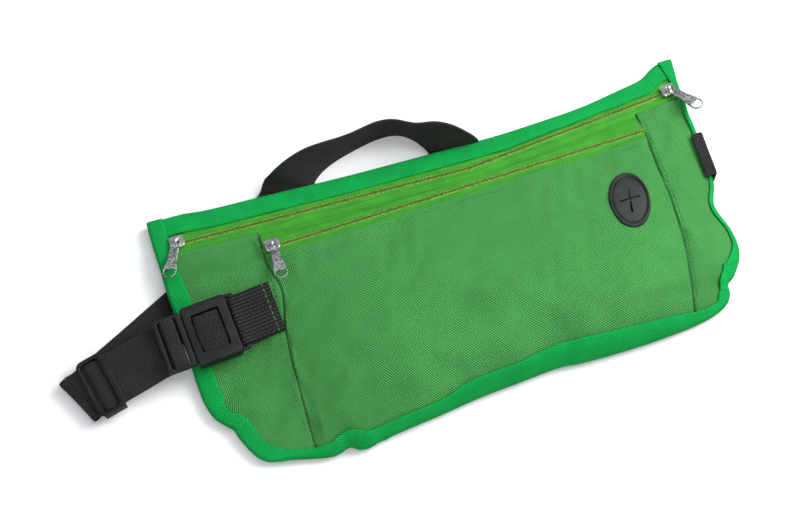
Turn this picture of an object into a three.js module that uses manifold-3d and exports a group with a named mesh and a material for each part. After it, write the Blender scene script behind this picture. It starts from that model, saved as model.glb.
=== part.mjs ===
// Treat pouch: a soft hip bag lying on its back, with its belt, buckle and zips.
// Millimetres. X runs along the bag's length, Y towards its top edge, Z up from the floor.
import * as THREE from "three";
import { mergeVertices } from "three/addons/utils/BufferGeometryUtils.js";
import Module from "manifold-3d";

const wasm = await Module();
wasm.setup();

// Bag body
const bagHalfLength = 135;
const bagHalfHeight = 65;
const bagCrown = 21.5;
const panelThickness = 0.7;
const backThickness = 0.8;
const dividerThickness = 0.5;
const dividerCrown = 7.5;
const dividerLapShare = 0.011;
const bindingWidth = 9;
const coilInset = 5.9;
const topBindingInset = 7;
const bindingThickness = 0.6;
const bindingReach = 3;
const seatGap = 0.3;
const cutOverrun = 2;

// Zips
const tapeThickness = 0.5;
const tapeSlit = 1.1;
const tapeFlatHalf = 4;
const tapeLapShare = 0.85;
const tapeTilt = THREE.MathUtils.degToRad(14);
const pocketTapeTilt = THREE.MathUtils.degToRad(16);
const coilWidth = 1.7;
const coilHeight = 1.3;
const hemDrop = 6.5;
const pocketHemDrop = 5.5;
const upperChainLow = 6.4;
const upperChainHigh = 9.4;
const pocketChainLevel = 13;
const pocketChainEndLevel = 5.6;
// Ends and bend of the chains, as shares of the bag's half length and half height
const upperChainLeftShares = [-0.97037, 0.80923];
const upperChainBendShares = [0.15556, 0.73846];
const upperChainRightShares = [0.96667, 0.91385];
const pocketChainLeftShares = [-0.62222, 0.54154];
const pocketChainRightShares = [0.8, 0.62154];

// Sliders and pulls
const sliderLength = 7.5;
const sliderWidth = 6.6;
const plateThickness = 0.8;
const sliderWeb = 0.5;
const bridgeWidth = 1.4;
const bridgeBar = 0.7;
const bridgeHalfSpan = 1.4;
const pullLength = 20.5;
const pullWidth = 6;
const pullThickness = 0.9;
const pullEyeLength = 3.4;
const pullEyeWidth = 3.4;
const pullRingLength = 5.2;
const pullRingWall = 0.7;
const leftSliderInset = 10;
const rightSliderInset = 9;
const pocketSliderInset = 2;
const leftPullLean = THREE.MathUtils.degToRad(-23);
const rightPullLean = THREE.MathUtils.degToRad(26);
const pocketPullLean = THREE.MathUtils.degToRad(-2);
const loosePullLift = THREE.MathUtils.degToRad(5);
const restingPullLift = THREE.MathUtils.degToRad(-4);

// Cable port
const portCentreShares = [0.62963, 0.07692];
const portHalfWidth = 10.5;
const portHalfHeight = 13.5;
const portFlange = 1.4;
const portRimRise = 0.8;
const portSlitLong = 14;
const portSlitWidth = 0.6;
const portRimInnerShare = 0.82;
const portHoleShare = 0.68;

// Webbing
const webWidth = 25;
const webThickness = 1.2;

const tabReach = 33;
const anchorLap = 5;
const anchorShare = 0.33846;

// Buckle, in its own frame: x towards the bag's tab, y across, z up
const buckleInset = 13.5;
const buckleOffset = 2.5;
const buckleLevel = 15.6;
const buckleTurn = THREE.MathUtils.degToRad(4);
const femaleWidth = webWidth + 5;
const femaleLeft = -10.8;
const windowHalfLength = 7.15;
const windowWidth = webWidth - 4.4;
const femaleBarEnd = 11.5;
const femaleSlot = 4;
const femaleEndBar = 2.5;
const femaleTop = 2.5;
const femaleBottom = -4.5;
const femaleFloor = 0.8;
const channelTop = 0.9;
const sideWall = 2.6;
const endBarHalf = 1;
const maleWidth = webWidth + 2;
const maleTop = 2.2;
const maleBottom = -1.6;
const maleOuterBar = 2.5;
const maleSlot = 2.1;
const maleWebBar = 4.7;
const maleWebBarHalf = 0.6;
const maleInnerBar = 2.8;
const maleInnerNotch = 1.4;
const maleWall = 1.6;
const prongWidth = 1.6;
const prongLength = 15.5;
const tongueThickness = 1.2;
const tongueTop = 0.3;
const tongueWidth = webWidth - 13;
const buttonInset = 0.45;
const buttonTop = 2.1;
const buttonShoulder = 1.7;

// Tri-glide and the two strap layers that run to it
const strapTurn = THREE.MathUtils.degToRad(12.5);
const strapDrop = THREE.MathUtils.degToRad(7.5);
const strapLength = 42;
const glideOffset = 10.5;
const glideLength = 14.5;
const glideWidth = webWidth + 4.5;
const glideOuterBar = 2.6;
const glideCentreBar = 2.6;
const glideBarHeight = 1.5;
const glideRail = 1.7;

// Outline of the bag, as shares of its half length and half height
const outlineShares = [
  [-1, 1.03], [-0.985, 0.69], [-0.985, 0.4], [-0.97, -0.1], [-0.955, -0.4], [-0.915, -0.66],
  [-0.86, -0.88], [-0.77, -1], [-0.64, -1.05], [-0.45, -1.05], [-0.2, -0.99], [0.1, -0.93],
  [0.4, -0.92], [0.65, -0.91], [0.8, -0.88], [0.885, -0.78], [0.945, -0.57], [0.97, -0.35],
  [0.95, -0.08], [0.965, 0.15], [0.965, 0.35], [0.98, 0.6], [0.985, 0.85], [1, 1.17],
];
const leftCornerIndex = 6;
const rightCornerIndex = 15;
const topEdgeShares = [
  [-1, 1.03], [-0.8, 1], [-0.45, 0.985], [-0.2, 0.965], [0.05, 0.955], [0.3, 0.957],
  [0.55, 0.98], [0.72, 1.005], [0.85, 1.06], [0.95, 1.14], [1, 1.17],
];
// Seams from the zip down to the bottom edge
const leftSeamShares = [[-0.64, 0.72], [-0.64, 0.42], [-0.617, 0.2], [-0.635, -0.15], [-0.655, -1]];
const rightSeamShares = [[0.805, 0.82], [0.8, 0.6], [0.765, 0.17], [0.74, -0.23], [0.705, -0.9]];
// How the front swells: shares of the crown along the length and down from the pocket hem
const lengthSwellShares = [
  [0, 0], [0.04, 0.1], [0.1, 0.26], [0.165, 0.53], [0.22, 0.77], [0.3, 0.93], [0.45, 1],
  [0.6, 1], [0.75, 0.96], [0.85, 0.85], [0.91, 0.67], [0.96, 0.4], [1, 0],
];
const crownShares = [
  [0, 0], [0.18, 0.42], [0.32, 0.78], [0.45, 0.96], [0.58, 1], [0.75, 0.92], [0.87, 0.68],
  [0.95, 0.36], [1, 0],
];
// Way along the outline, and the edge strip's width there as a share of its full width
const legWidthShares = [
  [0, 0.55], [0.05, 0.57], [0.09, 0.86], [0.13, 0.92], [0.18, 0.72], [0.23, 0.6], [0.28, 0.64],
  [0.32, 0.52], [0.37, 0.48], [0.42, 0.56], [0.46, 0.46], [0.51, 0.68], [0.55, 0.55], [0.59, 0.75],
  [0.63, 0.72], [0.67, 0.52], [0.71, 0.42], [0.76, 0.34], [0.8, 0.3], [0.93, 0.3], [0.97, 0.36], [1, 0.5],
];
const hemFadeShares = [[0, 1], [0.18, 0.62], [0.32, 0.25], [0.45, 0.06], [0.58, 0], [1, 0]];

const fromBag = ([x, y]) => [x * bagHalfLength, y * bagHalfHeight];
const upperChainLeft = fromBag(upperChainLeftShares);
const upperChainBend = fromBag(upperChainBendShares);
const upperChainRight = fromBag(upperChainRightShares);
const pocketChainLeft = fromBag(pocketChainLeftShares);
const pocketChainRight = fromBag(pocketChainRightShares);
const leftSliderX = leftSliderInset - bagHalfLength;
const rightSliderX = bagHalfLength - rightSliderInset;
const pocketSliderX = pocketChainLeft[0] + pocketSliderInset;
const [portX, portY] = fromBag(portCentreShares);
const buckleX = buckleInset - bagHalfLength;
const buckleY = buckleOffset;
const tabRightX = buckleX + tabReach;
const anchorY = anchorShare * bagHalfHeight;

// Levels
const bindingBottom = webThickness + seatGap;
const backBottom = bindingBottom + bindingThickness + seatGap;
const backTop = backBottom + backThickness;
const edgeLevel = backTop + seatGap + panelThickness;

const material = (color, roughness, metalness = 0) =>
  new THREE.MeshStandardMaterial({ color, roughness, metalness });
const v3 = (x, y, z) => new THREE.Vector3(x, y, z);
const lerp = THREE.MathUtils.lerp;
const spread = (from, to, count) =>
  Array.from({ length: count + 1 }, (_, i) => lerp(from, to, i / count));

const pouch = new THREE.Group();
function add(name, geometry, finish) {
  const mesh = new THREE.Mesh(geometry, finish());
  mesh.name = name;
  pouch.add(mesh);
  return mesh;
}
const panelCloth = () => material(0x3f8f40, 0.9);
const bindingCloth = () => material(0x0a9c46, 0.85);
const tapeCloth = () => material(0x4aa32c, 0.85);
const coilNylon = () => material(0x5aa82c, 0.5);
const webbing = () => material(0x2c2a2a, 0.9);
const buckleNylon = () => material(0x262728, 0.55);
const portRubber = () => material(0x454a46, 0.7);
const sliderMetal = () => material(0xc4c6c8, 0.25, 1);

// Smooth value of a table of [place, value] rows
function tableAt(rows, place) {
  const last = rows.length - 1;
  if (place <= rows[0][0]) return rows[0][1];
  if (place >= rows[last][0]) return rows[last][1];
  let i = 0;
  while (rows[i + 1][0] < place) i += 1;
  const slope = (a, b) => (rows[b][1] - rows[a][1]) / (rows[b][0] - rows[a][0]);
  const step = rows[i + 1][0] - rows[i][0];
  const share = (place - rows[i][0]) / step;
  const tangent = (k) => (k === 0 || k === last ? 0 : steady(slope(k - 1, k), slope(k, k + 1)));
  const m0 = i === 0 ? slope(0, 1) : tangent(i);
  const m1 = i + 1 === last ? slope(last - 1, last) : tangent(i + 1);
  const s2 = share * share;
  const s3 = s2 * share;
  return (2 * s3 - 3 * s2 + 1) * rows[i][1] + (s3 - 2 * s2 + share) * step * m0
    + (3 * s2 - 2 * s3) * rows[i + 1][1] + (s3 - s2) * step * m1;
}
// A tangent that never overshoots its two neighbours
function steady(before, after) {
  return before * after <= 0 ? 0 : (2 * before * after) / (before + after);
}

const scaled = (shares) => shares.map(([x, y]) => v3(x * bagHalfLength, y * bagHalfHeight, 0));
const outline = new THREE.CatmullRomCurve3(scaled(outlineShares), false, "centripetal");
const topEdge = new THREE.CatmullRomCurve3(scaled(topEdgeShares), false, "centripetal");
const leftSeam = new THREE.CatmullRomCurve3(scaled(leftSeamShares), false, "centripetal");
const rightSeam = new THREE.CatmullRomCurve3(scaled(rightSeamShares), false, "centripetal");
const cornerAt = (index) => index / (outlineShares.length - 1);

// The curve's parameter where one coordinate reaches a value, between two parameters
function paramAt(curve, axis, value, from, to) {
  const rising = curve.getPoint(to)[axis] > curve.getPoint(from)[axis];
  let low = from;
  let high = to;
  for (let i = 0; i < 30; i += 1) {
    const middle = (low + high) / 2;
    if (curve.getPoint(middle)[axis] < value === rising) low = middle;
    else high = middle;
  }
  return (low + high) / 2;
}
const leftCorner = cornerAt(leftCornerIndex);
const rightCorner = cornerAt(rightCornerIndex);
const leftEdgeX = (y) => outline.getPoint(paramAt(outline, "y", y, 0, leftCorner)).x;
const rightEdgeX = (y) => outline.getPoint(paramAt(outline, "y", y, rightCorner, 1)).x;
const bottomEdgeY = (x) => outline.getPoint(paramAt(outline, "x", x, leftCorner, rightCorner)).y;
const topEdgeY = (x) => topEdge.getPoint(paramAt(topEdge, "x", x, 0, 1)).y;
const seamX = (seam, y) => seam.getPoint(paramAt(seam, "y", y, 0, 1)).x;

// The upper zip's chain is two straight stretches, the pocket zip's is one
const lineY = (a, b, x) => lerp(a[1], b[1], (x - a[0]) / (b[0] - a[0]));
function upperChainY(x) {
  return x < upperChainBend[0]
    ? lineY(upperChainLeft, upperChainBend, x)
    : lineY(upperChainBend, upperChainRight, x);
}
function upperChainZ(x) {
  const end = x < upperChainBend[0] ? upperChainLeft[0] : upperChainRight[0];
  return lerp(upperChainHigh, upperChainLow, (x - upperChainBend[0]) / (end - upperChainBend[0]));
}
const pocketChainY = (x) => lineY(pocketChainLeft, pocketChainRight, x);
function pocketChainZ(x) {
  const [left, right] = [pocketChainLeft[0], pocketChainRight[0]];
  if (x >= left && x <= right) return pocketChainLevel;
  const end = x < left ? -bagHalfLength : bagHalfLength;
  const start = x < left ? left : right;
  return lerp(pocketChainLevel, pocketChainEndLevel, Math.min(1, (x - start) / (end - start)));
}

// Height of the front cloth's middle above the floor, at a place in plan
function frontZ(x, y) {
  const upperY = upperChainY(x);
  const upperZ = upperChainZ(x);
  const rise = Math.tan(tapeTilt);
  if (y >= upperY + tapeFlatHalf) {
    const from = upperY + tapeFlatHalf;
    const share = Math.min(1, (y - from) / Math.max(tapeFlatHalf, topEdgeY(x) - from));
    return lerp(upperZ - tapeFlatHalf * rise, edgeLevel, share);
  }
  if (y >= upperY - hemDrop) return upperZ + (upperY - y) * rise;
  const pocketY = pocketChainY(x);
  const pocketZ = pocketChainZ(x);
  const pocketRise = Math.tan(pocketTapeTilt);
  const bandTop = pocketY + tapeFlatHalf;
  if (y >= bandTop) {
    const hemY = upperY - hemDrop;
    const share = (hemY - y) / Math.max(seatGap, hemY - bandTop);
    return lerp(upperZ + hemDrop * rise, pocketZ - tapeFlatHalf * pocketRise, share);
  }
  const pocketHem = pocketY - pocketHemDrop;
  if (y >= pocketHem) return pocketZ + (pocketY - y) * pocketRise;
  const down = (pocketHem - y) / (pocketHem - bottomEdgeY(x));
  const left = leftEdgeX(y);
  const along = (x - left) / (rightEdgeX(y) - left);
  const hemRise = pocketZ + pocketHemDrop * pocketRise - edgeLevel;
  const swell = tableAt(lengthSwellShares, along);
  return edgeLevel + hemRise * tableAt(hemFadeShares, down)
    + bagCrown * swell * tableAt(crownShares, down);
}
function frontNormal(x, y) {
  const step = seatGap;
  const slopeX = (frontZ(x + step, y) - frontZ(x - step, y)) / (2 * step);
  const slopeY = (frontZ(x, y + step) - frontZ(x, y - step)) / (2 * step);
  return v3(-slopeX, -slopeY, 1).normalize();
}

// A closed solid between two grids of points, each indexed [station][row]
function solidBetween(upper, lower) {
  const stations = upper.length;
  const rows = upper[0].length;
  const points = [...upper.flat(), ...lower.flat()];
  const index = [];
  const at = (side, i, k) => side * stations * rows + i * rows + k;
  const quad = (a, b, c, d) => index.push(a, b, c, a, c, d);
  for (let i = 0; i < stations - 1; i += 1) {
    for (let k = 0; k < rows - 1; k += 1) {
      quad(at(0, i, k), at(0, i + 1, k), at(0, i + 1, k + 1), at(0, i, k + 1));
      quad(at(1, i, k), at(1, i, k + 1), at(1, i + 1, k + 1), at(1, i + 1, k));
    }
    quad(at(0, i, 0), at(1, i, 0), at(1, i + 1, 0), at(0, i + 1, 0));
    quad(at(0, i, rows - 1), at(0, i + 1, rows - 1), at(1, i + 1, rows - 1), at(1, i, rows - 1));
  }
  for (let k = 0; k < rows - 1; k += 1) {
    quad(at(0, 0, k), at(0, 0, k + 1), at(1, 0, k + 1), at(1, 0, k));
    const end = stations - 1;
    quad(at(0, end, k), at(1, end, k), at(1, end, k + 1), at(0, end, k + 1));
  }
  return facingOut(points, index);
}
// Faces are turned round if the solid's volume comes out negative
function facingOut(points, index) {
  let volume = 0;
  for (let i = 0; i < index.length; i += 3) {
    const [a, b, c] = [points[index[i]], points[index[i + 1]], points[index[i + 2]]];
    volume += a.dot(v3(0, 0, 0).crossVectors(b, c));
  }
  if (volume < 0) index.reverse();
  const geometry = new THREE.BufferGeometry().setFromPoints(points);
  geometry.setIndex(index);
  return geometry;
}

// Joins and cuts
function solidOf(geometry) {
  const bare = geometry.clone();
  bare.deleteAttribute("normal");
  bare.deleteAttribute("uv");
  const merged = mergeVertices(bare, 1e-4);
  return new wasm.Manifold(new wasm.Mesh({
    numProp: 3,
    vertProperties: new Float32Array(merged.attributes.position.array),
    triVerts: new Uint32Array(merged.index.array),
  }));
}
function geometryOf(solid) {
  const mesh = solid.getMesh();
  const geometry = new THREE.BufferGeometry();
  geometry.setAttribute("position", new THREE.BufferAttribute(mesh.vertProperties, 3));
  geometry.setIndex(new THREE.BufferAttribute(mesh.triVerts, 1));
  return geometry;
}
const joined = (...parts) => geometryOf(parts.map(solidOf).reduce((a, b) => a.add(b)));
const cut = (body, ...tools) =>
  geometryOf(tools.map(solidOf).reduce((a, b) => a.subtract(b), solidOf(body)));

// A box between two corners
function block(x0, x1, y0, y1, z0, z1) {
  return new THREE.BoxGeometry(x1 - x0, y1 - y0, z1 - z0)
    .translate((x0 + x1) / 2, (y0 + y1) / 2, (z0 + z1) / 2);
}

// A four-sided patch of plan places, from its edges: top and bottom along u, left and right along v
function patchPlaces(edges, columns, downShares) {
  const [top, bottom, left, right] = edges;
  const corner = [top(0), top(1), bottom(0), bottom(1)];
  const place = (u, v) => {
    const across = top(u).multiplyScalar(1 - v).add(bottom(u).multiplyScalar(v));
    const down = left(v).multiplyScalar(1 - u).add(right(v).multiplyScalar(u));
    const blend = corner[0].clone().multiplyScalar((1 - u) * (1 - v))
      .add(corner[1].clone().multiplyScalar(u * (1 - v)))
      .add(corner[2].clone().multiplyScalar((1 - u) * v))
      .add(corner[3].clone().multiplyScalar(u * v));
    return across.add(down).sub(blend);
  };
  return Array.from({ length: columns + 1 }, (_, i) =>
    downShares.map((v) => place(i / columns, v)));
}
// Cloth of a given thickness on the front surface, over a grid of plan places
function frontCloth(places, thickness, lift = 0) {
  const side = (distance) => places.map((row) => row.map((p) =>
    v3(p.x, p.y, frontZ(p.x, p.y)).addScaledVector(frontNormal(p.x, p.y), distance)));
  return solidBetween(side(lift + thickness / 2), side(lift - thickness / 2));
}

// The outline moved inwards by a distance, at a curve parameter
const cloakInset = bindingThickness + seatGap + panelThickness;
function insetPoint(t, distance) {
  const tangent = outline.getTangent(t);
  return outline.getPoint(t).addScaledVector(v3(-tangent.y, tangent.x, 0), distance);
}
const plan = (x, y) => v3(x, y, 0);

function seamSide(seam, hem, sign) {
  const bottomT = 1;
  const start = seamHemParam(seam, hem);
  return (v) => {
    const p = seam.getPoint(lerp(start, bottomT, v));
    const floor = bottomEdgeY(p.x) + cloakInset;
    return plan(p.x + sign * seatGap / 2, Math.max(p.y, floor));
  };
}
// Where a seam meets a hem line
function seamHemParam(seam, hem) {
  let low = 0;
  let high = 1;
  for (let i = 0; i < 30; i += 1) {
    const middle = (low + high) / 2;
    const p = seam.getPoint(middle);
    if (p.y > hem(p.x)) low = middle;
    else high = middle;
  }
  return low;
}
const endHem = (x) => upperChainY(x) - hemDrop - seatGap;
const pocketHem = (x) => pocketChainY(x) - pocketHemDrop - seatGap;

function leftEndPanel() {
  const seam = seamSide(leftSeam, endHem, -1);
  const startT = paramAt(outline, "y", endHem(zipLeft + 2 * cloakInset), 0, leftCorner);
  const seamFoot = seam(1);
  const endT = paramAt(outline, "x", seamFoot.x, leftCorner, rightCorner);
  const left = (v) => insetPoint(lerp(startT, leftCorner, v), cloakInset);
  const bottom = (u) => (u === 1 ? seam(1) : insetPoint(lerp(leftCorner, endT, u), cloakInset));
  const a = left(0).x;
  const b = seam(0).x;
  const top = (u) => (u === 1 ? seam(0) : u === 0 ? left(0) : plan(lerp(a, b, u), endHem(lerp(a, b, u))));
  return frontCloth(patchPlaces([top, bottom, left, seam], 9, spread(0, 1, 14)), panelThickness);
}
function rightEndPanel() {
  const seam = seamSide(rightSeam, endHem, 1);
  const startT = paramAt(outline, "y", endHem(zipRight - 2 * cloakInset), rightCorner, 1);
  const endT = paramAt(outline, "x", seam(1).x, leftCorner, rightCorner);
  const right = (v) => insetPoint(lerp(startT, rightCorner, v), cloakInset);
  const bottom = (u) => (u === 0 ? seam(1) : insetPoint(lerp(endT, rightCorner, u), cloakInset));
  const a = seam(0).x;
  const b = right(0).x;
  const top = (u) => (u === 0 ? seam(0) : u === 1 ? right(0) : plan(lerp(a, b, u), endHem(lerp(a, b, u))));
  return frontCloth(patchPlaces([top, bottom, seam, right], 7, spread(0, 1, 14)), panelThickness);
}
function pocketPlaces(columns, downShares, hem, shrink) {
  const leftSide = seamSide(leftSeam, hem, 1 + shrink);
  const rightSide = seamSide(rightSeam, hem, -1 - shrink);
  const fromT = paramAt(outline, "x", leftSide(1).x, leftCorner, rightCorner);
  const toT = paramAt(outline, "x", rightSide(1).x, leftCorner, rightCorner);
  const bottom = (u) => {
    if (u === 0) return leftSide(1);
    if (u === 1) return rightSide(1);
    return insetPoint(lerp(fromT, toT, u), cloakInset);
  };
  const a = leftSide(0).x;
  const b = rightSide(0).x;
  const top = (u) => {
    if (u === 0) return leftSide(0);
    if (u === 1) return rightSide(0);
    return plan(lerp(a, b, u), hem(lerp(a, b, u)));
  };
  return patchPlaces([top, bottom, leftSide, rightSide], columns, downShares);
}
function ovalPrism(halfWidth, halfHeight, low, high) {
  const shape = new THREE.Shape();
  shape.absellipse(portX, portY, halfWidth, halfHeight, 0, 2 * Math.PI, false, 0);
  return new THREE.ExtrudeGeometry(shape, { depth: high - low, bevelEnabled: false, curveSegments: 20 })
    .translate(0, 0, low);
}
function pocketPanel() {
  const cloth = frontCloth(pocketPlaces(30, spread(0, 1, 15), pocketHem, 0), panelThickness);
  const top = frontZ(portX, portY) + bagCrown;
  const hole = ovalPrism(portHalfWidth * portHoleShare, portHalfHeight * portHoleShare, edgeLevel, top);
  return cut(cloth, hole);
}
function dividerPanel() {
  const top = (x) => pocketChainY(x) + tapeFlatHalf + 3 * seatGap;
  const downShares = [0, ...spread(dividerLapShare, 1, 8)];
  const places = pocketPlaces(16, downShares, top, 1);
  const under = tapeThickness / 2 + seatGap + dividerThickness / 2;
  const belowSlider = plateThickness + 2 * seatGap;
  const low = backTop + seatGap + dividerThickness / 2;
  const columns = places.length - 1;
  const level = (p, i, k) => {
    const v = downShares[k];
    const start = frontZ(p.x, places[i][0].y) - under - (k === 0 ? 0 : belowSlider);
    const ease = v * v * (3 - 2 * v);
    const bulge = dividerCrown * Math.sin(Math.PI * v) * Math.sin((Math.PI * i) / columns);
    return lerp(start, low, ease) + bulge;
  };
  const side = (offset) => places.map((row, i) => row.map((p, k) => v3(p.x, p.y, level(p, i, k) + offset)));
  return solidBetween(side(dividerThickness / 2), side(-dividerThickness / 2));
}
function backPanel() {
  const around = 90;
  const points = Array.from({ length: around + 1 }, (_, i) => insetPoint(i / around, cloakInset));
  const across = 24;
  const [first, last] = [points[points.length - 1], points[0]];
  for (let i = 1; i < across; i += 1) {
    const x = lerp(first.x, last.x, i / across);
    points.push(plan(x, topEdgeY(x) - cloakInset));
  }
  points[0].y -= cloakInset;
  points[around].y -= cloakInset;
  const shape = new THREE.Shape(points.map((p) => new THREE.Vector2(p.x, p.y)));
  return new THREE.ExtrudeGeometry(shape, { depth: backThickness, bevelEnabled: false })
    .translate(0, 0, backBottom);
}

// Binding: a strip folded over the edge, as one folded section per station
function bindingSection(edge, inward, width) {
  const outer = [];
  const inner = [];
  const clear = panelThickness / 2 + seatGap;
  const legs = [1, 0.72, 0.45, 0.2];
  const surface = (distance, lift) => {
    const p = edge.clone().addScaledVector(inward, distance);
    const near = [-bindingReach, 0, bindingReach].map((d) => frontZ(p.x - d * inward.y, p.y + d * inward.x));
    return v3(p.x, p.y, Math.max(...near) + lift / Math.max(0.6, frontNormal(p.x, p.y).z));
  };
  for (const share of legs) {
    const distance = Math.max(share * width, bindingThickness * 2);
    outer.push(surface(distance, clear + bindingThickness));
    inner.push(surface(distance, clear));
  }
  const nearOuter = outer[outer.length - 1];
  const nearInner = inner[inner.length - 1];
  outer.push(v3(edge.x, edge.y, nearOuter.z - bindingThickness));
  outer.push(v3(edge.x, edge.y, bindingBottom));
  const wall = edge.clone().addScaledVector(inward, bindingThickness);
  inner.push(v3(wall.x, wall.y, Math.min(nearInner.z, nearOuter.z - 2 * bindingThickness)));
  inner.push(v3(wall.x, wall.y, bindingBottom + bindingThickness));
  const far = edge.clone().addScaledVector(inward, width);
  outer.push(v3(far.x, far.y, bindingBottom));
  inner.push(v3(far.x, far.y, bindingBottom + bindingThickness));
  return { outer, inner };
}
function bindingSolid(stations) {
  const sections = stations.map(([edge, inward, width]) => bindingSection(edge, inward, width));
  return solidBetween(sections.map((s) => s.outer), sections.map((s) => s.inner));
}
// How wide the strip is at each point of the outline
const legWidth = (t) => bindingWidth * tableAt(legWidthShares, t);
function edgeBinding() {
  const count = 72;
  const stations = [];
  for (let i = 0; i <= count; i += 1) {
    const t = i / count;
    const tangent = outline.getTangent(t);
    const p = outline.getPoint(t);
    stations.push([p, v3(-tangent.y, tangent.x, 0), legWidth(t)]);
  }
  stations[0][1] = v3(1, 0, 0);
  stations[count][1] = v3(-1, 0, 0);
  return bindingSolid(stations);
}
function topBinding() {
  const count = 26;
  const from = -bagHalfLength + topBindingInset;
  const to = bagHalfLength - topBindingInset;
  const stations = [];
  for (let i = 0; i <= count; i += 1) {
    const x = lerp(from, to, i / count);
    const p = plan(x, topEdgeY(x));
    const room = topEdgeY(x) - upperChainY(x) - tapeFlatHalf - seatGap;
    stations.push([p, v3(0, -1, 0), Math.min(bindingWidth, room)]);
  }
  return bindingSolid(stations);
}

// Zip tapes and coils follow their chain lines
const upperLine = { y: upperChainY, z: upperChainZ, tilt: tapeTilt };
const pocketLine = { y: pocketChainY, z: pocketChainZ, tilt: pocketTapeTilt };
// A strip beside a chain: side +1 is towards the top edge; reach gives how far it goes at x
function tape(line, xs, side, reach) {
  const rows = (x) => {
    const far = reach(x);
    const flat = Math.min(tapeFlatHalf, tapeLapShare * far);
    return [tapeSlit / 2, flat, lerp(flat, far, 0.5), far];
  };
  const places = xs.map((x) => rows(x).map((d) => plan(x, line.y(x) + side * d)));
  const grid = (lift) => places.map((row) => row.map((p) =>
    v3(p.x, p.y, frontZ(p.x, p.y) + lift)));
  return solidBetween(grid(tapeThickness / 2), grid(-tapeThickness / 2));
}
function coil(line, xs, side) {
  const base = tapeThickness / 2 + seatGap;
  const nearSide = tapeSlit / 2;
  const grid = (lift) => xs.map((x) => [nearSide, nearSide + coilWidth].map((d) => {
    const drop = -side * d * Math.sin(line.tilt);
    return v3(x, line.y(x) + side * d * Math.cos(line.tilt) + lift * Math.sin(line.tilt),
      line.z(x) + drop + lift * Math.cos(line.tilt));
  }));
  return solidBetween(grid(base + coilHeight), grid(base));
}

const zipLeft = leftEdgeX(upperChainLeft[1]);
const zipRight = rightEdgeX(upperChainRight[1]);
const bendX = upperChainBend[0];
const bothSidesOfBend = (from, to) => [...spread(from, bendX, 7), ...spread(bendX, to, 6).slice(1)];
const tapeInset = cloakInset + seatGap;
const upperXs = bothSidesOfBend(zipLeft + tapeInset, zipRight - tapeInset);
const upperCoilXs = bothSidesOfBend(zipLeft + coilInset, zipRight - coilInset);
const pocketLeft = seamX(leftSeam, pocketChainLeft[1]) + seatGap;
const pocketRight = seamX(rightSeam, pocketChainRight[1] - pocketHemDrop) - 2 * seatGap;
const pocketXs = bothSidesOfBend(pocketLeft, pocketRight);
const roomBetweenTapes = (x) => upperChainY(x) - hemDrop - pocketChainY(x) - seatGap;

// A slider body, in its own frame: x along the chain, y across, z away from the cloth
function sliderBody() {
  const bottom = -tapeThickness / 2 - seatGap;
  const top = tapeThickness / 2 + 2 * seatGap + coilHeight;
  const halfLength = sliderLength / 2;
  const halfWidth = sliderWidth / 2;
  const lower = block(-halfLength, halfLength, -halfWidth, halfWidth, bottom - plateThickness, bottom);
  const upper = block(-halfLength, halfLength, -halfWidth, halfWidth, top, top + plateThickness);
  const web = block(-halfLength / 2, halfLength / 2, -sliderWeb / 2, sliderWeb / 2,
    bottom - plateThickness / 2, top + plateThickness / 2);
  return { body: joined(lower, upper, web), top: top + plateThickness };
}
const bridgeRise = pullThickness + 2 * seatGap;
// The bridge is an arch over the pull's cross bar: x is the way the pull lies
function bridgeArch(base) {
  const leg = (x) => block(x - bridgeBar / 2, x + bridgeBar / 2, -bridgeWidth / 2, bridgeWidth / 2,
    base - plateThickness / 2, base + bridgeRise + bridgeBar);
  const roof = block(-bridgeHalfSpan, bridgeHalfSpan, -bridgeWidth / 2, bridgeWidth / 2,
    base + bridgeRise, base + bridgeRise + bridgeBar);
  return joined(leg(-bridgeHalfSpan), leg(bridgeHalfSpan), roof);
}
// A pull, in its own frame: x from its cross bar to its ring, z its thickness
function pullPlate() {
  const half = pullThickness / 2;
  const barHalf = pullThickness / 2;
  const outer = new THREE.Shape();
  const eyeHalf = pullWidth / 2;
  outer.moveTo(-barHalf, -eyeHalf * 0.75);
  outer.lineTo(pullEyeLength + barHalf, -eyeHalf);
  outer.lineTo(pullLength - eyeHalf, -eyeHalf);
  outer.absarc(pullLength - eyeHalf, 0, eyeHalf, -Math.PI / 2, Math.PI / 2, false);
  outer.lineTo(pullEyeLength + barHalf, eyeHalf);
  outer.lineTo(-barHalf, eyeHalf * 0.75);
  outer.closePath();
  const eye = new THREE.Path();
  eye.moveTo(barHalf, -pullEyeWidth / 2);
  eye.lineTo(barHalf + pullEyeLength, -pullEyeWidth / 2);
  eye.lineTo(barHalf + pullEyeLength, pullEyeWidth / 2);
  eye.lineTo(barHalf, pullEyeWidth / 2);
  eye.closePath();
  const ringHalf = eyeHalf - pullRingWall;
  const ringCentre = pullLength - eyeHalf;
  const ring = new THREE.Path();
  ring.moveTo(ringCentre, -ringHalf);
  ring.absarc(ringCentre, 0, ringHalf, -Math.PI / 2, Math.PI / 2, false);
  ring.lineTo(pullLength - pullRingLength, ringHalf);
  ring.lineTo(pullLength - pullRingLength, -ringHalf);
  ring.closePath();
  outer.holes.push(eye, ring);
  return new THREE.ExtrudeGeometry(outer, { depth: pullThickness, bevelEnabled: false, curveSegments: 6 })
    .translate(0, 0, -half);
}
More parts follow.
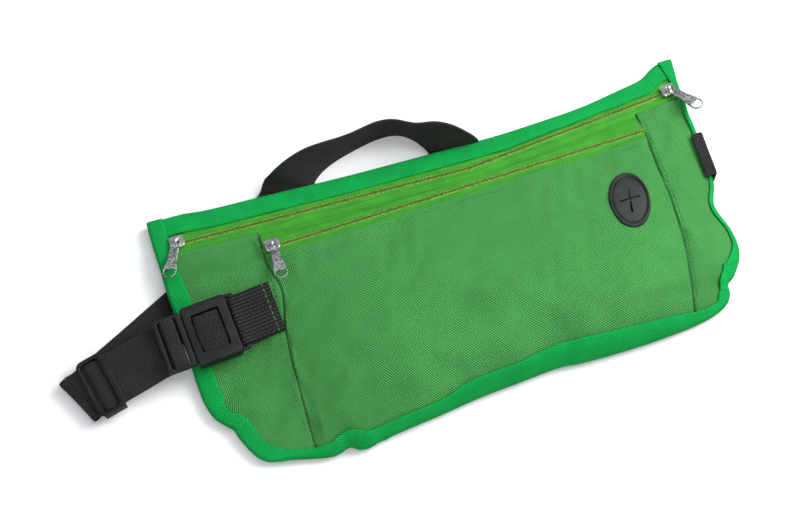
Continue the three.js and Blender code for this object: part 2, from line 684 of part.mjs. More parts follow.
// The frame of a chain at x: along it, across it, and away from the cloth
function chainFrame(line, x) {
  const step = seatGap;
  const along = v3(2 * step, line.y(x + step) - line.y(x - step), line.z(x + step) - line.z(x - step))
    .normalize();
  const slope = v3(0, -Math.cos(line.tilt), Math.sin(line.tilt));
  const away = along.clone().cross(slope).negate().normalize();
  if (away.z < 0) away.negate();
  const across = away.clone().cross(along).normalize();
  return new THREE.Matrix4().makeBasis(along, across, away).setPosition(x, line.y(x), line.z(x));
}
function zipSlider(name, line, x, lean, lift) {
  const { body, top } = sliderBody();
  const frame = chainFrame(line, x);
  const wayOfPull = new THREE.Matrix4().makeRotationZ(-Math.PI / 2 + lean);
  const arch = bridgeArch(top).applyMatrix4(wayOfPull);
  add(name + "_slider", joined(body, arch).applyMatrix4(frame), sliderMetal);
  const pivot = v3(0, 0, top + seatGap + pullThickness / 2);
  const place = new THREE.Matrix4().makeTranslation(pivot.x, pivot.y, pivot.z)
    .multiply(wayOfPull)
    .multiply(new THREE.Matrix4().makeRotationY(-lift));
  add(name + "_pull", pullPlate().applyMatrix4(place).applyMatrix4(frame), sliderMetal);
}

// The rubber cable port: an oval flange with a raised rim and a cross slit
function cablePort() {
  const rings = [0.001, 0.25, 0.5, 0.7, portRimInnerShare, 0.88, 0.96, 1];
  const rims = [0, 0, 0, 0, 0, 1, 1, 0];
  const around = 24;
  const base = panelThickness / 2 + seatGap;
  const centreUp = frontNormal(portX, portY);
  const ringPoint = (share, angle, lift) => {
    const x = portX + portHalfWidth * share * Math.cos(angle);
    const y = portY + portHalfHeight * share * Math.sin(angle);
    return v3(x, y, frontZ(x, y) + lift / centreUp.z);
  };
  const points = [];
  const index = [];
  const layer = (lifts) => {
    const start = points.length;
    points.push(ringPoint(0, 0, lifts[0]));
    for (let r = 1; r < rings.length; r += 1) {
      for (let a = 0; a < around; a += 1) {
        points.push(ringPoint(rings[r], (2 * Math.PI * a) / around, lifts[r]));
      }
    }
    return start;
  };
  const upper = layer(rims.map((rim) => base + portFlange + rim * portRimRise));
  const lower = layer(rims.map(() => base));
  const at = (start, r, a) => (r === 0 ? start : start + 1 + (r - 1) * around + (a % around));
  for (let a = 0; a < around; a += 1) {
    index.push(at(upper, 0, 0), at(upper, 1, a), at(upper, 1, a + 1));
    index.push(at(lower, 0, 0), at(lower, 1, a + 1), at(lower, 1, a));
    for (let r = 1; r < rings.length - 1; r += 1) {
      index.push(at(upper, r, a), at(upper, r + 1, a), at(upper, r + 1, a + 1));
      index.push(at(upper, r, a), at(upper, r + 1, a + 1), at(upper, r, a + 1));
      index.push(at(lower, r, a), at(lower, r + 1, a + 1), at(lower, r + 1, a));
      index.push(at(lower, r, a), at(lower, r, a + 1), at(lower, r + 1, a + 1));
    }
    const edge = rings.length - 1;
    index.push(at(upper, edge, a), at(lower, edge, a), at(lower, edge, a + 1));
    index.push(at(upper, edge, a), at(lower, edge, a + 1), at(upper, edge, a + 1));
  }
  const slit = (turn) => block(-portSlitLong / 2, portSlitLong / 2, -portSlitWidth / 2,
    portSlitWidth / 2, edgeLevel, 2 * bagCrown).rotateZ(turn).translate(portX, portY, 0);
  const turn = THREE.MathUtils.degToRad(8);
  return cut(facingOut(points, index), slit(turn), slit(turn + Math.PI / 2));
}

// Webbing: a ribbon along stations of centre, width direction and thickness direction
function ribbon(stations, width = webWidth) {
  const rows = [-0.5, 0.5];
  const side = (lift) => stations.map(({ centre, across, up }) =>
    rows.map((share) => centre.clone().addScaledVector(across, share * width).addScaledVector(up, lift)));
  return solidBetween(side(webThickness / 2), side(-webThickness / 2));
}
// Stations from hand-chosen rows of [x, y, lean, tilt]: where the ribbon's inner edge lies on the
// floor, which way its outer edge lies in plan, and how far that edge is tilted up, in degrees
function standingRoute(rows, steps) {
  const places = rows.map((row) => plan(...fromBag(row)));
  const path = new THREE.CatmullRomCurve3(places, false, "centripetal");
  const column = (k) => rows.map((row, i) => [i / (rows.length - 1), row[k]]);
  const [leans, tilts] = [column(2), column(3)];
  const centres = [];
  const sides = [];
  for (const t of spread(0, 1, steps)) {
    const lean = THREE.MathUtils.degToRad(tableAt(leans, t));
    const tilt = THREE.MathUtils.degToRad(tableAt(tilts, t));
    const across = v3(Math.cos(lean) * Math.cos(tilt), Math.sin(lean) * Math.cos(tilt), Math.sin(tilt));
    const centre = path.getPoint(t).addScaledVector(across, webWidth / 2);
    centre.z += (webThickness / 2) * Math.cos(tilt);
    centres.push(centre);
    sides.push(across);
  }
  return centres.map((centre, i) => {
    const travel = centres[Math.min(i + 1, steps)].clone().sub(centres[Math.max(i - 1, 0)]);
    const up = travel.cross(sides[i]).normalize();
    return { centre, across: sides[i], up };
  });
}
// Routes of the belt behind and beside the bag, chosen by hand, with x and y as shares of the
// bag's half length and half height
const lowerRouteShares = [
  [-1.3348, -0.2615, 117, 0], [-1.0704, 0.0123, 117, 0], [-0.9156, 0.1754, 118, 0],
  [-0.7578, 0.3508, 118, 0],
];
const archRouteShares = [
  [-0.7548, 0.3554, 118, 0], [-0.5852, 0.5615, 130, 0], [-0.4741, 0.7615, 142, 0],
  [-0.4222, 0.8769, 150, 0], [-0.3852, 0.9615, 157, 1.5], [-0.3444, 1.0385, 163, 20],
  [-0.2667, 1.1308, 160, 50], [-0.1778, 1.1923, 130, 74], [-0.1037, 1.1846, 85, 80],
  [-0.0704, 1.1077, 50, 68], [-0.0593, 1.0154, 31, 45], [-0.0519, 0.9662, 29, 14],
  [-0.037, 0.9, 32, 0], [0.0148, 0.7385, 38, 0],
];
const rightRouteShares = [
  [0.0163, 0.7354, 38, 0], [0.0815, 0.5538, 48, 0], [0.1926, 0.3692, 62, 0],
  [0.3704, 0.2231, 76, 0], [0.6296, 0.1615, 85, 0], [0.9185, 0.1462, 90, 0],
];

// The buckle's frame
const buckleFrame = new THREE.Matrix4().makeRotationZ(buckleTurn).setPosition(buckleX, buckleY, buckleLevel);
const inBuckle = (x, y, z) => v3(x, y, z).applyMatrix4(buckleFrame);
const femaleRight = femaleBarEnd + femaleSlot + femaleEndBar;

function buckleFemale() {
  const half = femaleWidth / 2;
  const frame = block(femaleLeft, femaleBarEnd, -half, half, femaleBottom, femaleTop);
  const overrun = cutOverrun;
  const window = block(-windowHalfLength, windowHalfLength, -windowWidth / 2, windowWidth / 2,
    femaleBottom + femaleFloor, femaleTop + overrun);
  const channel = block(femaleLeft - overrun, windowHalfLength, -half + sideWall, half - sideWall,
    femaleBottom + femaleFloor, channelTop);
  const armTop = femaleTop - seatGap;
  const arm = (side) => block(femaleBarEnd - overrun, femaleRight, side > 0 ? half - maleWall : -half,
    side > 0 ? half : maleWall - half, -endBarHalf, armTop);
  const endBar = block(femaleBarEnd + femaleSlot, femaleRight, -half, half, -endBarHalf, endBarHalf);
  return joined(cut(frame, window, channel), arm(1), arm(-1), endBar).applyMatrix4(buckleFrame);
}
const maleRight = femaleLeft - seatGap;
const maleInnerLeft = maleRight - maleInnerBar;
const webBarRight = maleInnerLeft - maleSlot;
const webBarLeft = webBarRight - maleWebBar;
const outerBarRight = webBarLeft - maleSlot;
const maleLeft = outerBarRight - maleOuterBar;
function buckleMale() {
  const half = maleWidth / 2;
  const webHalf = webWidth / 2 + seatGap;
  const overrun = cutOverrun;
  const frame = block(maleLeft, maleRight, -half, half, maleBottom, maleTop);
  const slots = block(outerBarRight, maleInnerLeft, -webHalf, webHalf,
    maleBottom - overrun, maleTop + overrun);
  const webBar = block(webBarLeft, webBarRight, -half, half, -maleWebBarHalf, maleWebBarHalf);
  const notch = block(maleRight - maleInnerNotch, maleRight + overrun, -tongueWidth / 2 - seatGap,
    tongueWidth / 2 + seatGap, maleBottom - overrun, tongueTop + seatGap);
  const prongOuter = femaleWidth / 2 - sideWall - seatGap;
  const prong = (side) => block(maleRight - seatGap, maleRight + prongLength,
    side > 0 ? prongOuter - prongWidth : -prongOuter,
    side > 0 ? prongOuter : prongWidth - prongOuter, tongueTop - tongueThickness, tongueTop);
  return joined(cut(frame, slots, notch), webBar, prong(1), prong(-1)).applyMatrix4(buckleFrame);
}
const tongueRoot = maleRight - maleInnerNotch + seatGap;
function releaseButton() {
  const halfTongue = tongueWidth / 2;
  const tongueTip = windowHalfLength - buttonInset;
  const plate = block(tongueRoot, tongueTip, -halfTongue, halfTongue, tongueTop - tongueThickness, tongueTop);
  const buttonHalf = windowWidth / 2 - buttonInset - prongWidth / 4;
  const left = -windowHalfLength + buttonInset;
  const shape = new THREE.Shape();
  shape.moveTo(left, tongueTop - tongueThickness / 2);
  shape.lineTo(tongueTip, tongueTop - tongueThickness / 2);
  shape.lineTo(tongueTip, buttonTop);
  shape.lineTo(left, buttonShoulder);
  shape.closePath();
  const button = new THREE.ExtrudeGeometry(shape, { depth: 2 * buttonHalf, bevelEnabled: false })
    .rotateX(Math.PI / 2).translate(0, buttonHalf, 0);
  return joined(plate, button).applyMatrix4(buckleFrame);
}

// A strap path given as [x, z] rows in a frame, as ribbon stations across that frame's y
function profileRibbon(rows, frameAt) {
  return rows.map(([x, z], i) => {
    const [before, after] = [rows[Math.max(0, i - 1)], rows[Math.min(rows.length - 1, i + 1)]];
    const toPoint = (row) => frameAt(row[0], row[1]);
    const centre = toPoint([x, z]);
    const travel = toPoint(after).sub(toPoint(before)).normalize();
    const across = frameAt(x, z, 1).sub(frameAt(x, z, 0)).normalize();
    const up = across.clone().cross(travel).normalize();
    return { centre, across, up };
  });
}
const buckleAt = (x, z, y = 0) => inBuckle(x, y, z);
// The tab loops round the end bar and is sewn down at the left seam
function buckleTab() {
  const barLeft = femaleBarEnd + femaleSlot;
  const lap = webThickness / 2 + seatGap;
  const overBar = endBarHalf + lap;
  const tabEnd = tabRightX - buckleX;
  const endLevel = (x) => {
    const p = inBuckle(x, 0, 0);
    return frontZ(p.x, p.y) - buckleLevel + panelThickness / 2 + 2 * seatGap + webThickness / 2;
  };
  const layerGap = webThickness + seatGap;
  const ease = (x) => THREE.MathUtils.smoothstep(x, femaleRight, tabEnd);
  const low = (x) => Math.max(lerp(-overBar, endLevel(tabEnd), ease(x)), endLevel(x));
  const high = (x) => Math.max(lerp(overBar, endLevel(tabEnd) + layerGap, ease(x)), low(x) + layerGap);
  const xs = spread(tabEnd, femaleRight, 4);
  const rows = [
    ...xs.map((x) => [x, high(x)]),
    [barLeft, overBar], [barLeft - lap * 0.7, overBar * 0.7], [barLeft - lap, 0],
    [barLeft - lap * 0.7, -overBar * 0.7], [barLeft, -overBar],
    ...xs.reverse().map((x) => [x, low(x)]),
  ];
  return ribbon(profileRibbon(rows, buckleAt), webWidth);
}

// The sloping strap frame: x back towards the far-left fold, from under the male half's outer bar
const strapStart = inBuckle(maleLeft, 0, maleBottom - 3 * seatGap - webThickness / 2);
const strapAway = v3(-Math.cos(strapTurn) * Math.cos(strapDrop), -Math.sin(strapTurn) * Math.cos(strapDrop),
  -Math.sin(strapDrop));
const strapAcross = v3(-Math.sin(strapTurn), Math.cos(strapTurn), 0);
const strapUp = strapAcross.clone().cross(strapAway).normalize();
const onStrap = (s, lift) => strapStart.clone().addScaledVector(strapAway, s).addScaledVector(strapUp, lift);
const layerDrop = webThickness + seatGap;
function strapStation(s, lift) {
  return { centre: onStrap(s, lift), across: strapAcross.clone(), up: strapUp.clone() };
}
function topLayer() {
  const lap = webThickness / 2 + seatGap;
  const under = maleBottom - lap - 2 * seatGap;
  const top = maleWebBarHalf + lap;
  const rows = [
    [webBarRight + lap, under + webThickness], [webBarRight + lap, 0], [webBarRight + lap * 0.6, top * 0.75],
    [webBarRight - lap * 0.4, top], [webBarLeft, top], [webBarLeft - lap * 0.7, top * 0.7],
    [webBarLeft - lap, 0], [webBarLeft - lap, maleBottom], [outerBarRight - webThickness, under],
  ];
  const stations = profileRibbon(rows, buckleAt);
  stations.push(strapStation(webThickness, 0), strapStation(strapLength, 0));
  return ribbon(stations);
}
// The return layer runs back under the top layer and loops round the adjuster's centre bar
function returnLayer() {
  const under = maleBottom - webThickness / 2 - 3 * seatGap - layerDrop;
  const start = {
    centre: inBuckle(webBarRight + webThickness, 0, under),
    across: inBuckle(0, 1, 0).sub(inBuckle(0, 0, 0)),
    up: v3(0, 0, 1),
  };
  const barEnd = strapLength - glideOffset + glideCentreBar / 2;
  const loop = glideBarHeight / 2 + seatGap + webThickness / 2;
  const stations = [start, strapStation(webThickness, -layerDrop)];
  for (const angle of spread(0, Math.PI, 4)) {
    const turned = strapStation(barEnd + loop * Math.sin(angle), -layerDrop - loop + loop * Math.cos(angle));
    turned.up = strapUp.clone().multiplyScalar(Math.cos(angle)).addScaledVector(strapAway, Math.sin(angle));
    stations.push(turned);
  }
  const end = strapStation(barEnd - glideCentreBar - seatGap, -layerDrop - 2 * loop);
  end.up.negate();
  stations.push(end);
  return ribbon(stations);
}
// The fold at the far left, then the layer that runs back under the bag
function lowerLayer() {
  const foldStart = onStrap(strapLength + seatGap, 0);
  const route = standingRoute(lowerRouteShares, 10);
  const first = route[0];
  const reach = foldStart.z / 2;
  const middle = foldStart.clone().lerp(first.centre, 0.5);
  const acrossAt = (share) => strapAcross.clone().lerp(first.across, share).normalize();
  const outward = strapAway.clone().setZ(0).normalize();
  const stations = [];
  const turns = 6;
  for (let i = 0; i <= turns; i += 1) {
    const angle = (Math.PI * i) / turns;
    const share = i / turns;
    const centre = foldStart.clone().lerp(first.centre, share);
    centre.z = middle.z + reach * Math.cos(angle);
    centre.addScaledVector(outward, reach * Math.sin(angle));
    if (i === 0) centre.copy(foldStart);
    if (i === turns) continue;
    const up = v3(0, 0, Math.cos(angle)).addScaledVector(outward, Math.sin(angle));
    stations.push({ centre, across: acrossAt(share), up });
  }
  for (const station of route) {
    station.up.negate();
    stations.push(station);
  }
  return ribbon(stations);
}
// Tri-glide: two outer bars over the strap, a centre bar under it, joined by side rails
function triGlide() {
  const half = glideWidth / 2;
  const halfLength = glideLength / 2;
  const overWeb = webThickness / 2 + seatGap;
  const barTop = overWeb + glideBarHeight;
  const centreTop = -overWeb - layerDrop;
  const outerBar = (side) => block(side > 0 ? halfLength - glideOuterBar : -halfLength,
    side > 0 ? halfLength : glideOuterBar - halfLength, -half, half, overWeb, barTop);
  const rail = (side) => block(-halfLength, halfLength, side > 0 ? half - glideRail : -half,
    side > 0 ? half : glideRail - half, centreTop - glideBarHeight, barTop);
  const centreBar = block(-glideCentreBar / 2, glideCentreBar / 2, -half, half,
    centreTop - glideBarHeight, centreTop);
  const basis = new THREE.Matrix4().makeBasis(strapAway.clone().negate(), strapAcross, strapUp);
  basis.setPosition(onStrap(strapLength - glideOffset, 0));
  return joined(outerBar(1), outerBar(-1), rail(1), rail(-1), centreBar).applyMatrix4(basis);
}
// The belt's end wraps round the right edge
function beltAnchor() {
  const rows = spread(-webWidth / 2, webWidth / 2, 5);
  const edgeX = Math.max(...rows.map((d) => rightEdgeX(anchorY + d)));
  const clear = panelThickness / 2 + 2 * seatGap + bindingThickness;
  const outerX = edgeX + seatGap + webThickness;
  const section = (d) => {
    const y = anchorY + d;
    const lapZ = Math.max(...spread(0, anchorLap, 5).map((s) => frontZ(edgeX - s, y))) + clear + seatGap;
    const low = webThickness / 2;
    const half = webThickness / 2;
    const x0 = outerX - anchorLap;
    const outer = [v3(x0, y, lapZ + 2 * half), v3(outerX, y, lapZ + 2 * half), v3(outerX, y, low - half),
      v3(x0, y, low - half)];
    const inner = [v3(x0, y, lapZ), v3(outerX - 2 * half, y, lapZ), v3(outerX - 2 * half, y, low + half),
      v3(x0, y, low + half)];
    return { outer, inner };
  };
  const sections = rows.map(section);
  return solidBetween(sections.map((s) => s.outer), sections.map((s) => s.inner));
}

add("back_panel", backPanel(), panelCloth);
add("divider_panel", dividerPanel(), panelCloth);
add("pocket_panel", pocketPanel(), panelCloth);
add("left_end_panel", leftEndPanel(), panelCloth);
add("right_end_panel", rightEndPanel(), panelCloth);
add("top_binding", topBinding(), bindingCloth);
add("edge_binding", edgeBinding(), bindingCloth);
const topReach = (x) => Math.min(topEdgeY(x) - upperChainY(x) - cloakInset, bindingWidth + tapeFlatHalf);
add("upper_zip_upper_tape", tape(upperLine, upperXs, 1, topReach), tapeCloth);
add("upper_zip_lower_tape", tape(upperLine, upperXs, -1, () => hemDrop), tapeCloth);
add("upper_zip_upper_coil", coil(upperLine, upperCoilXs, 1), coilNylon);
add("upper_zip_lower_coil", coil(upperLine, upperCoilXs, -1), coilNylon);
add("pocket_zip_upper_tape", tape(pocketLine, pocketXs, 1, roomBetweenTapes), tapeCloth);
add("pocket_zip_lower_tape", tape(pocketLine, pocketXs, -1, () => pocketHemDrop), tapeCloth);
add("pocket_zip_upper_coil", coil(pocketLine, pocketXs, 1), coilNylon);
add("pocket_zip_lower_coil", coil(pocketLine, pocketXs, -1), coilNylon);
zipSlider("left", upperLine, leftSliderX, leftPullLean, restingPullLift);
zipSlider("right", upperLine, rightSliderX, rightPullLean, loosePullLift);
zipSlider("pocket", pocketLine, pocketSliderX, pocketPullLean, restingPullLift);
add("cable_port", cablePort(), portRubber);
add("buckle_tab", buckleTab(), webbing);
add("buckle_female", buckleFemale(), buckleNylon);
add("buckle_male", buckleMale(), buckleNylon);
add("release_button", releaseButton(), buckleNylon);
add("tri_glide", triGlide(), buckleNylon);
add("belt_top_layer", topLayer(), webbing);
add("belt_return_layer", returnLayer(), webbing);
add("belt_lower_layer", lowerLayer(), webbing);
add("belt_arch", ribbon(standingRoute(archRouteShares, 36)), webbing);
add("belt_right_run", ribbon(standingRoute(rightRouteShares, 12)), webbing);
add("belt_anchor", beltAnchor(), webbing);

// The origin is the bottom centre of the whole part's box
const extent = new THREE.Box3().setFromObject(pouch);
const centre = extent.getCenter(v3(0, 0, 0));
pouch.position.set(-centre.x, -centre.y, -extent.min.z);

export default pouch;
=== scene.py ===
# Treat pouch for Blender 4.5: a soft hip bag with two zips, a rubber cable port, a webbing belt,
# a side-release buckle and a strap adjuster. Lengths are millimetres in the bag's own frame
# (X along the bag, Y towards its top edge, Z up from the floor) until place_mesh turns them to metres.
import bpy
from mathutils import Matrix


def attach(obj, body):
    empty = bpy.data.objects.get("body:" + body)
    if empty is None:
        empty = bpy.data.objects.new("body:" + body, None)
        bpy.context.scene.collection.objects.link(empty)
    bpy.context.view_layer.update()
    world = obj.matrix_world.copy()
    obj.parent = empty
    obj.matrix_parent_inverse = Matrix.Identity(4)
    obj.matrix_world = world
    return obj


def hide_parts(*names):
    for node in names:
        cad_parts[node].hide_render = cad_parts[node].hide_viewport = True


bl_info = {
    "name": "Treat pouch",
    "version": (1, 0, 0),
    "blender": (4, 5, 0),
    "location": "View3D > Sidebar > Pouch",
    "description": "Builds a fabric treat pouch with its belt, buckle, zips and cable port",
    "category": "Object",
}

import math

import bmesh
import bpy
import numpy as np
from mathutils import Matrix, Vector

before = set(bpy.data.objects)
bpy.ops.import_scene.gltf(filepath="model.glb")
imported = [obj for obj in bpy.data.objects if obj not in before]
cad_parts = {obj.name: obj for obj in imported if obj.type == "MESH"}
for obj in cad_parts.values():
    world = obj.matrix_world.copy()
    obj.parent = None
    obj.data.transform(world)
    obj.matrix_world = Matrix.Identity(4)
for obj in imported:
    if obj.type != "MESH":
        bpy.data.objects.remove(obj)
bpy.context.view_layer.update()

# The bag's frame lies this far from the model's origin, which is the middle of its whole box
SHIFT = np.array([28.348, -7.425, 0.0])

# Sizes shared with the solids
HALF_LENGTH, HALF_HEIGHT, CROWN = 135.0, 65.0, 21.5
PANEL, BINDING, TAPE = 0.7, 0.6, 0.5
BINDING_WIDTH, BINDING_NARROW = 9.0, 4.6
GAP = 0.3
HEM, POCKET_HEM, FLAT = 6.5, 5.5, 4.0
TILT, POCKET_TILT = math.radians(14), math.radians(16)
CHAIN_LOW, CHAIN_HIGH = 6.4, 9.4
POCKET_LEVEL, POCKET_END = 13.0, 5.6
CHAIN_LEFT, CHAIN_BEND, CHAIN_RIGHT = (-131, 52.6), (21, 48), (130.5, 59.4)
POCKET_LEFT, POCKET_RIGHT = (-84, 35.2), (108, 40.4)
EDGE_BOTTOM, EDGE_LEVEL = 1.5, 4.2
PORT, PORT_HALF, PORT_TURN = (86.2, 5.5), (9.9, 15.2), math.radians(-11)
WEB, WEB_THICK = 25.0, 1.2

# The bag's edge as shares of its half sizes, from its top left round to its top right, and how
# wide the grosgrain shows there in millimetres
OUTLINE = [
    (-1.012, 1.04, 8.0), (-1.013, 0.87, 8.0), (-1.01, 0.65, 8.2), (-1.01, 0.45, 9.3), (-1.0, 0.1, 9.5),
    (-0.998, -0.17, 9.5), (-0.996, -0.3, 9.2), (-0.989, -0.43, 9.5), (-0.972, -0.54, 7.5), (-0.945, -0.61, 6.2),
    (-0.918, -0.67, 7.6), (-0.91, -0.73, 8.5), (-0.88, -0.865, 7.5), (-0.86, -0.925, 7.5), (-0.836, -0.962, 7.3),
    (-0.8, -0.984, 6.0), (-0.755, -1.0, 4.0), (-0.695, -1.03, 4.0), (-0.625, -1.06, 5.0), (-0.59, -1.057, 5.5),
    (-0.552, -1.034, 6.0), (-0.52, -1.07, 7.0), (-0.486, -1.078, 6.4), (-0.447, -1.056, 4.5), (-0.37, -1.032, 4.3),
    (-0.22, -0.995, 4.0), (-0.07, -0.952, 6.3), (0.08, -0.927, 6.0), (0.235, -0.904, 7.4), (0.305, -0.918, 8.0),
    (0.45, -0.924, 7.5), (0.6, -0.915, 6.5), (0.755, -0.884, 4.5), (0.838, -0.84, 3.6), (0.877, -0.787, 6.0),
    (0.891, -0.73, 5.5), (0.894, -0.668, 4.5), (0.924, -0.622, 7.0), (0.945, -0.57, 5.6), (0.967, -0.5, 5.0),
    (0.979, -0.394, 3.2), (0.973, -0.258, 2.4), (0.952, -0.11, 2.8), (0.949, -0.04, 2.6), (0.97, 0.08, 2.4),
    (0.977, 0.14, 2.5), (0.977, 0.35, 2.5), (0.978, 0.6, 2.5), (0.979, 0.8, 2.4), (0.981, 0.93, 3.4),
    (0.991, 1.165, 7.5),
]
LEFT_CORNER, RIGHT_CORNER = 13 / 50, 33 / 50
TOP_EDGE = [
    (-1.012, 1.04), (-0.94, 1.042), (-0.88, 1.04), (-0.8, 1.02), (-0.6, 1.003), (-0.45, 0.99),
    (-0.3, 0.976), (0, 0.964), (0.3, 0.959), (0.455, 0.972), (0.61, 0.993), (0.77, 1.045),
    (0.86, 1.08), (0.905, 1.138), (0.935, 1.163), (0.991, 1.167),
]
LEFT_SEAM = [(-0.643, 0.74), (-0.643, 0.42), (-0.625, 0.2), (-0.652, -0.15), (-0.668, -1)]
RIGHT_SEAM = [(0.79, 0.82), (0.788, 0.62), (0.786, 0.3), (0.787, 0.0), (0.777, -0.3), (0.735, -0.9)]
LENGTH_SWELL = [
    (0, 0), (0.04, 0.1), (0.1, 0.26), (0.165, 0.53), (0.22, 0.77), (0.3, 0.93), (0.45, 1),
    (0.6, 1), (0.75, 0.96), (0.85, 0.85), (0.91, 0.67), (0.96, 0.4), (1, 0),
]
DEPTH_SWELL = [
    (0, 0), (0.18, 0.42), (0.32, 0.78), (0.45, 0.96), (0.58, 1), (0.75, 0.92), (0.87, 0.68),
    (0.95, 0.36), (1, 0),
]
HEM_FADE = [(0, 1), (0.18, 0.62), (0.32, 0.25), (0.45, 0.06), (0.58, 0), (1, 0)]


# Curves and the bag's surface


def smooth_table(rows, places):
    """Values of a table of (place, value) rows, smooth and never past a row's own value."""
    xs, ys = (np.array([r[k] for r in rows], float) for k in (0, 1))
    step = np.diff(xs)
    slope = np.diff(ys) / step
    tangent = np.zeros(len(xs))
    both = slope[:-1] * slope[1:]
    tangent[1:-1] = np.where(both > 0, 2 * both / (slope[:-1] + slope[1:] + 1e-12), 0)
    tangent[0], tangent[-1] = slope[0], slope[-1]
    p = np.clip(np.asarray(places, float), xs[0], xs[-1])
    i = np.clip(np.searchsorted(xs, p) - 1, 0, len(step) - 1)
    s = (p - xs[i]) / step[i]
    return (
        (2 * s**3 - 3 * s**2 + 1) * ys[i] + (s**3 - 2 * s**2 + s) * step[i] * tangent[i]
        + (3 * s**2 - 2 * s**3) * ys[i + 1] + (s**3 - s**2) * step[i] * tangent[i + 1]
    )


def smooth_curve(points, ts):
    """Places on a centripetal curve through points, for parameters from 0 to 1."""
    p = np.array(points, float)
    p = np.vstack([2 * p[0] - p[1], p, 2 * p[-1] - p[-2]])
    count = len(p) - 2
    where = np.clip(np.asarray(ts, float), 0, 1) * (count - 1)
    i = np.minimum(where.astype(int), count - 2)
    s = (where - i)[:, None]
    q = [p[i + k] for k in range(4)]
    d = [np.maximum(np.sum((q[k + 1] - q[k]) ** 2, 1) ** 0.25, 1e-4)[:, None] for k in range(3)]
    t1 = ((q[1] - q[0]) / d[0] - (q[2] - q[0]) / (d[0] + d[1]) + (q[2] - q[1]) / d[1]) * d[1]
    t2 = ((q[2] - q[1]) / d[1] - (q[3] - q[1]) / (d[1] + d[2]) + (q[3] - q[2]) / d[2]) * d[1]
    return (
        q[1] + t1 * s + (-3 * q[1] + 3 * q[2] - 2 * t1 - t2) * s**2
        + (2 * q[1] - 2 * q[2] + t1 + t2) * s**3
    )


def scaled(shares):
    return [(x * HALF_LENGTH, y * HALF_HEIGHT) for x, y, *_ in shares]


FINE = np.linspace(0, 1, 3001)
OUTLINE_FINE = smooth_curve(scaled(OUTLINE), FINE)
TOP_FINE = smooth_curve(scaled(TOP_EDGE), FINE)
LEFT_SEAM_FINE = smooth_curve(scaled(LEFT_SEAM), FINE)
RIGHT_SEAM_FINE = smooth_curve(scaled(RIGHT_SEAM), FINE)
_left = OUTLINE_FINE[FINE <= LEFT_CORNER][::-1]
_right = OUTLINE_FINE[FINE >= RIGHT_CORNER]
_low = OUTLINE_FINE[(FINE >= LEFT_CORNER) & (FINE <= RIGHT_CORNER)]


def left_edge(y):
    return np.interp(y, _left[:, 1], _left[:, 0])


def right_edge(y):
    return np.interp(y, _right[:, 1], _right[:, 0])


def bottom_edge(x):
    return np.interp(x, _low[:, 0], _low[:, 1])


def top_edge(x):
    return np.interp(x, TOP_FINE[:, 0], TOP_FINE[:, 1])


def seam_x(seam, y):
    return np.interp(y, seam[::-1, 1], seam[::-1, 0])


def line_y(a, b, x):
    return a[1] + (b[1] - a[1]) * (x - a[0]) / (b[0] - a[0])


def chain_y(x):
    x = np.asarray(x, float)
    return np.where(x < CHAIN_BEND[0], line_y(CHAIN_LEFT, CHAIN_BEND, x), line_y(CHAIN_BEND, CHAIN_RIGHT, x))


def chain_z(x):
    x = np.asarray(x, float)
    end = np.where(x < CHAIN_BEND[0], CHAIN_LEFT[0], CHAIN_RIGHT[0])
    return CHAIN_HIGH + (CHAIN_LOW - CHAIN_HIGH) * (x - CHAIN_BEND[0]) / (end - CHAIN_BEND[0])


def pocket_chain_y(x):
    return line_y(POCKET_LEFT, POCKET_RIGHT, np.asarray(x, float))


def pocket_chain_z(x):
    x = np.asarray(x, float)
    past_left = np.clip((POCKET_LEFT[0] - x) / (POCKET_LEFT[0] + HALF_LENGTH), 0, 1)
    past_right = np.clip((x - POCKET_RIGHT[0]) / (HALF_LENGTH - POCKET_RIGHT[0]), 0, 1)
    return POCKET_LEVEL + (POCKET_END - POCKET_LEVEL) * np.maximum(past_left, past_right)


def front_z(x, y):
    """Height of the front cloth's middle above the floor at a place in plan."""
    x, y = np.broadcast_arrays(np.asarray(x, float), np.asarray(y, float))
    upper_y, upper_z, rise = chain_y(x), chain_z(x), math.tan(TILT)
    pocket_y, pocket_z, pocket_rise = pocket_chain_y(x), pocket_chain_z(x), math.tan(POCKET_TILT)
    start = upper_y + FLAT
    share = np.clip((y - start) / np.maximum(FLAT, top_edge(x) - start), 0, 1)
    above = upper_z - FLAT * rise + (EDGE_LEVEL - upper_z + FLAT * rise) * share
    band = upper_z + (upper_y - y) * rise
    hem_y, band_top = upper_y - HEM, pocket_y + FLAT
    share = np.clip((hem_y - y) / np.maximum(GAP, hem_y - band_top), 0, 1)
    hem_z = upper_z + HEM * rise
    strip = hem_z + (pocket_z - FLAT * pocket_rise - hem_z) * share
    pocket_band = pocket_z + (pocket_y - y) * pocket_rise
    pocket_hem = pocket_y - POCKET_HEM
    down = np.clip((pocket_hem - y) / (pocket_hem - bottom_edge(x)), 0, 1)
    left = left_edge(y)
    along = np.clip((x - left) / (right_edge(y) - left), 0, 1)
    hem_rise = pocket_z + POCKET_HEM * pocket_rise - EDGE_LEVEL
    body = (
        EDGE_LEVEL + hem_rise * smooth_table(HEM_FADE, down)
        + CROWN * smooth_table(LENGTH_SWELL, along) * smooth_table(DEPTH_SWELL, down)
    )
    return np.select(
        [y >= start, y >= hem_y, y >= band_top, y >= pocket_hem], [above, band, strip, pocket_band], body
    )


def front_normal(x, y, step=0.3):
    dx = (front_z(x + step, y) - front_z(x - step, y)) / (2 * step)
    dy = (front_z(x, y + step) - front_z(x, y - step)) / (2 * step)
    n = np.stack([-dx, -dy, np.ones_like(dx)], -1)
    return n / np.linalg.norm(n, axis=-1, keepdims=True)


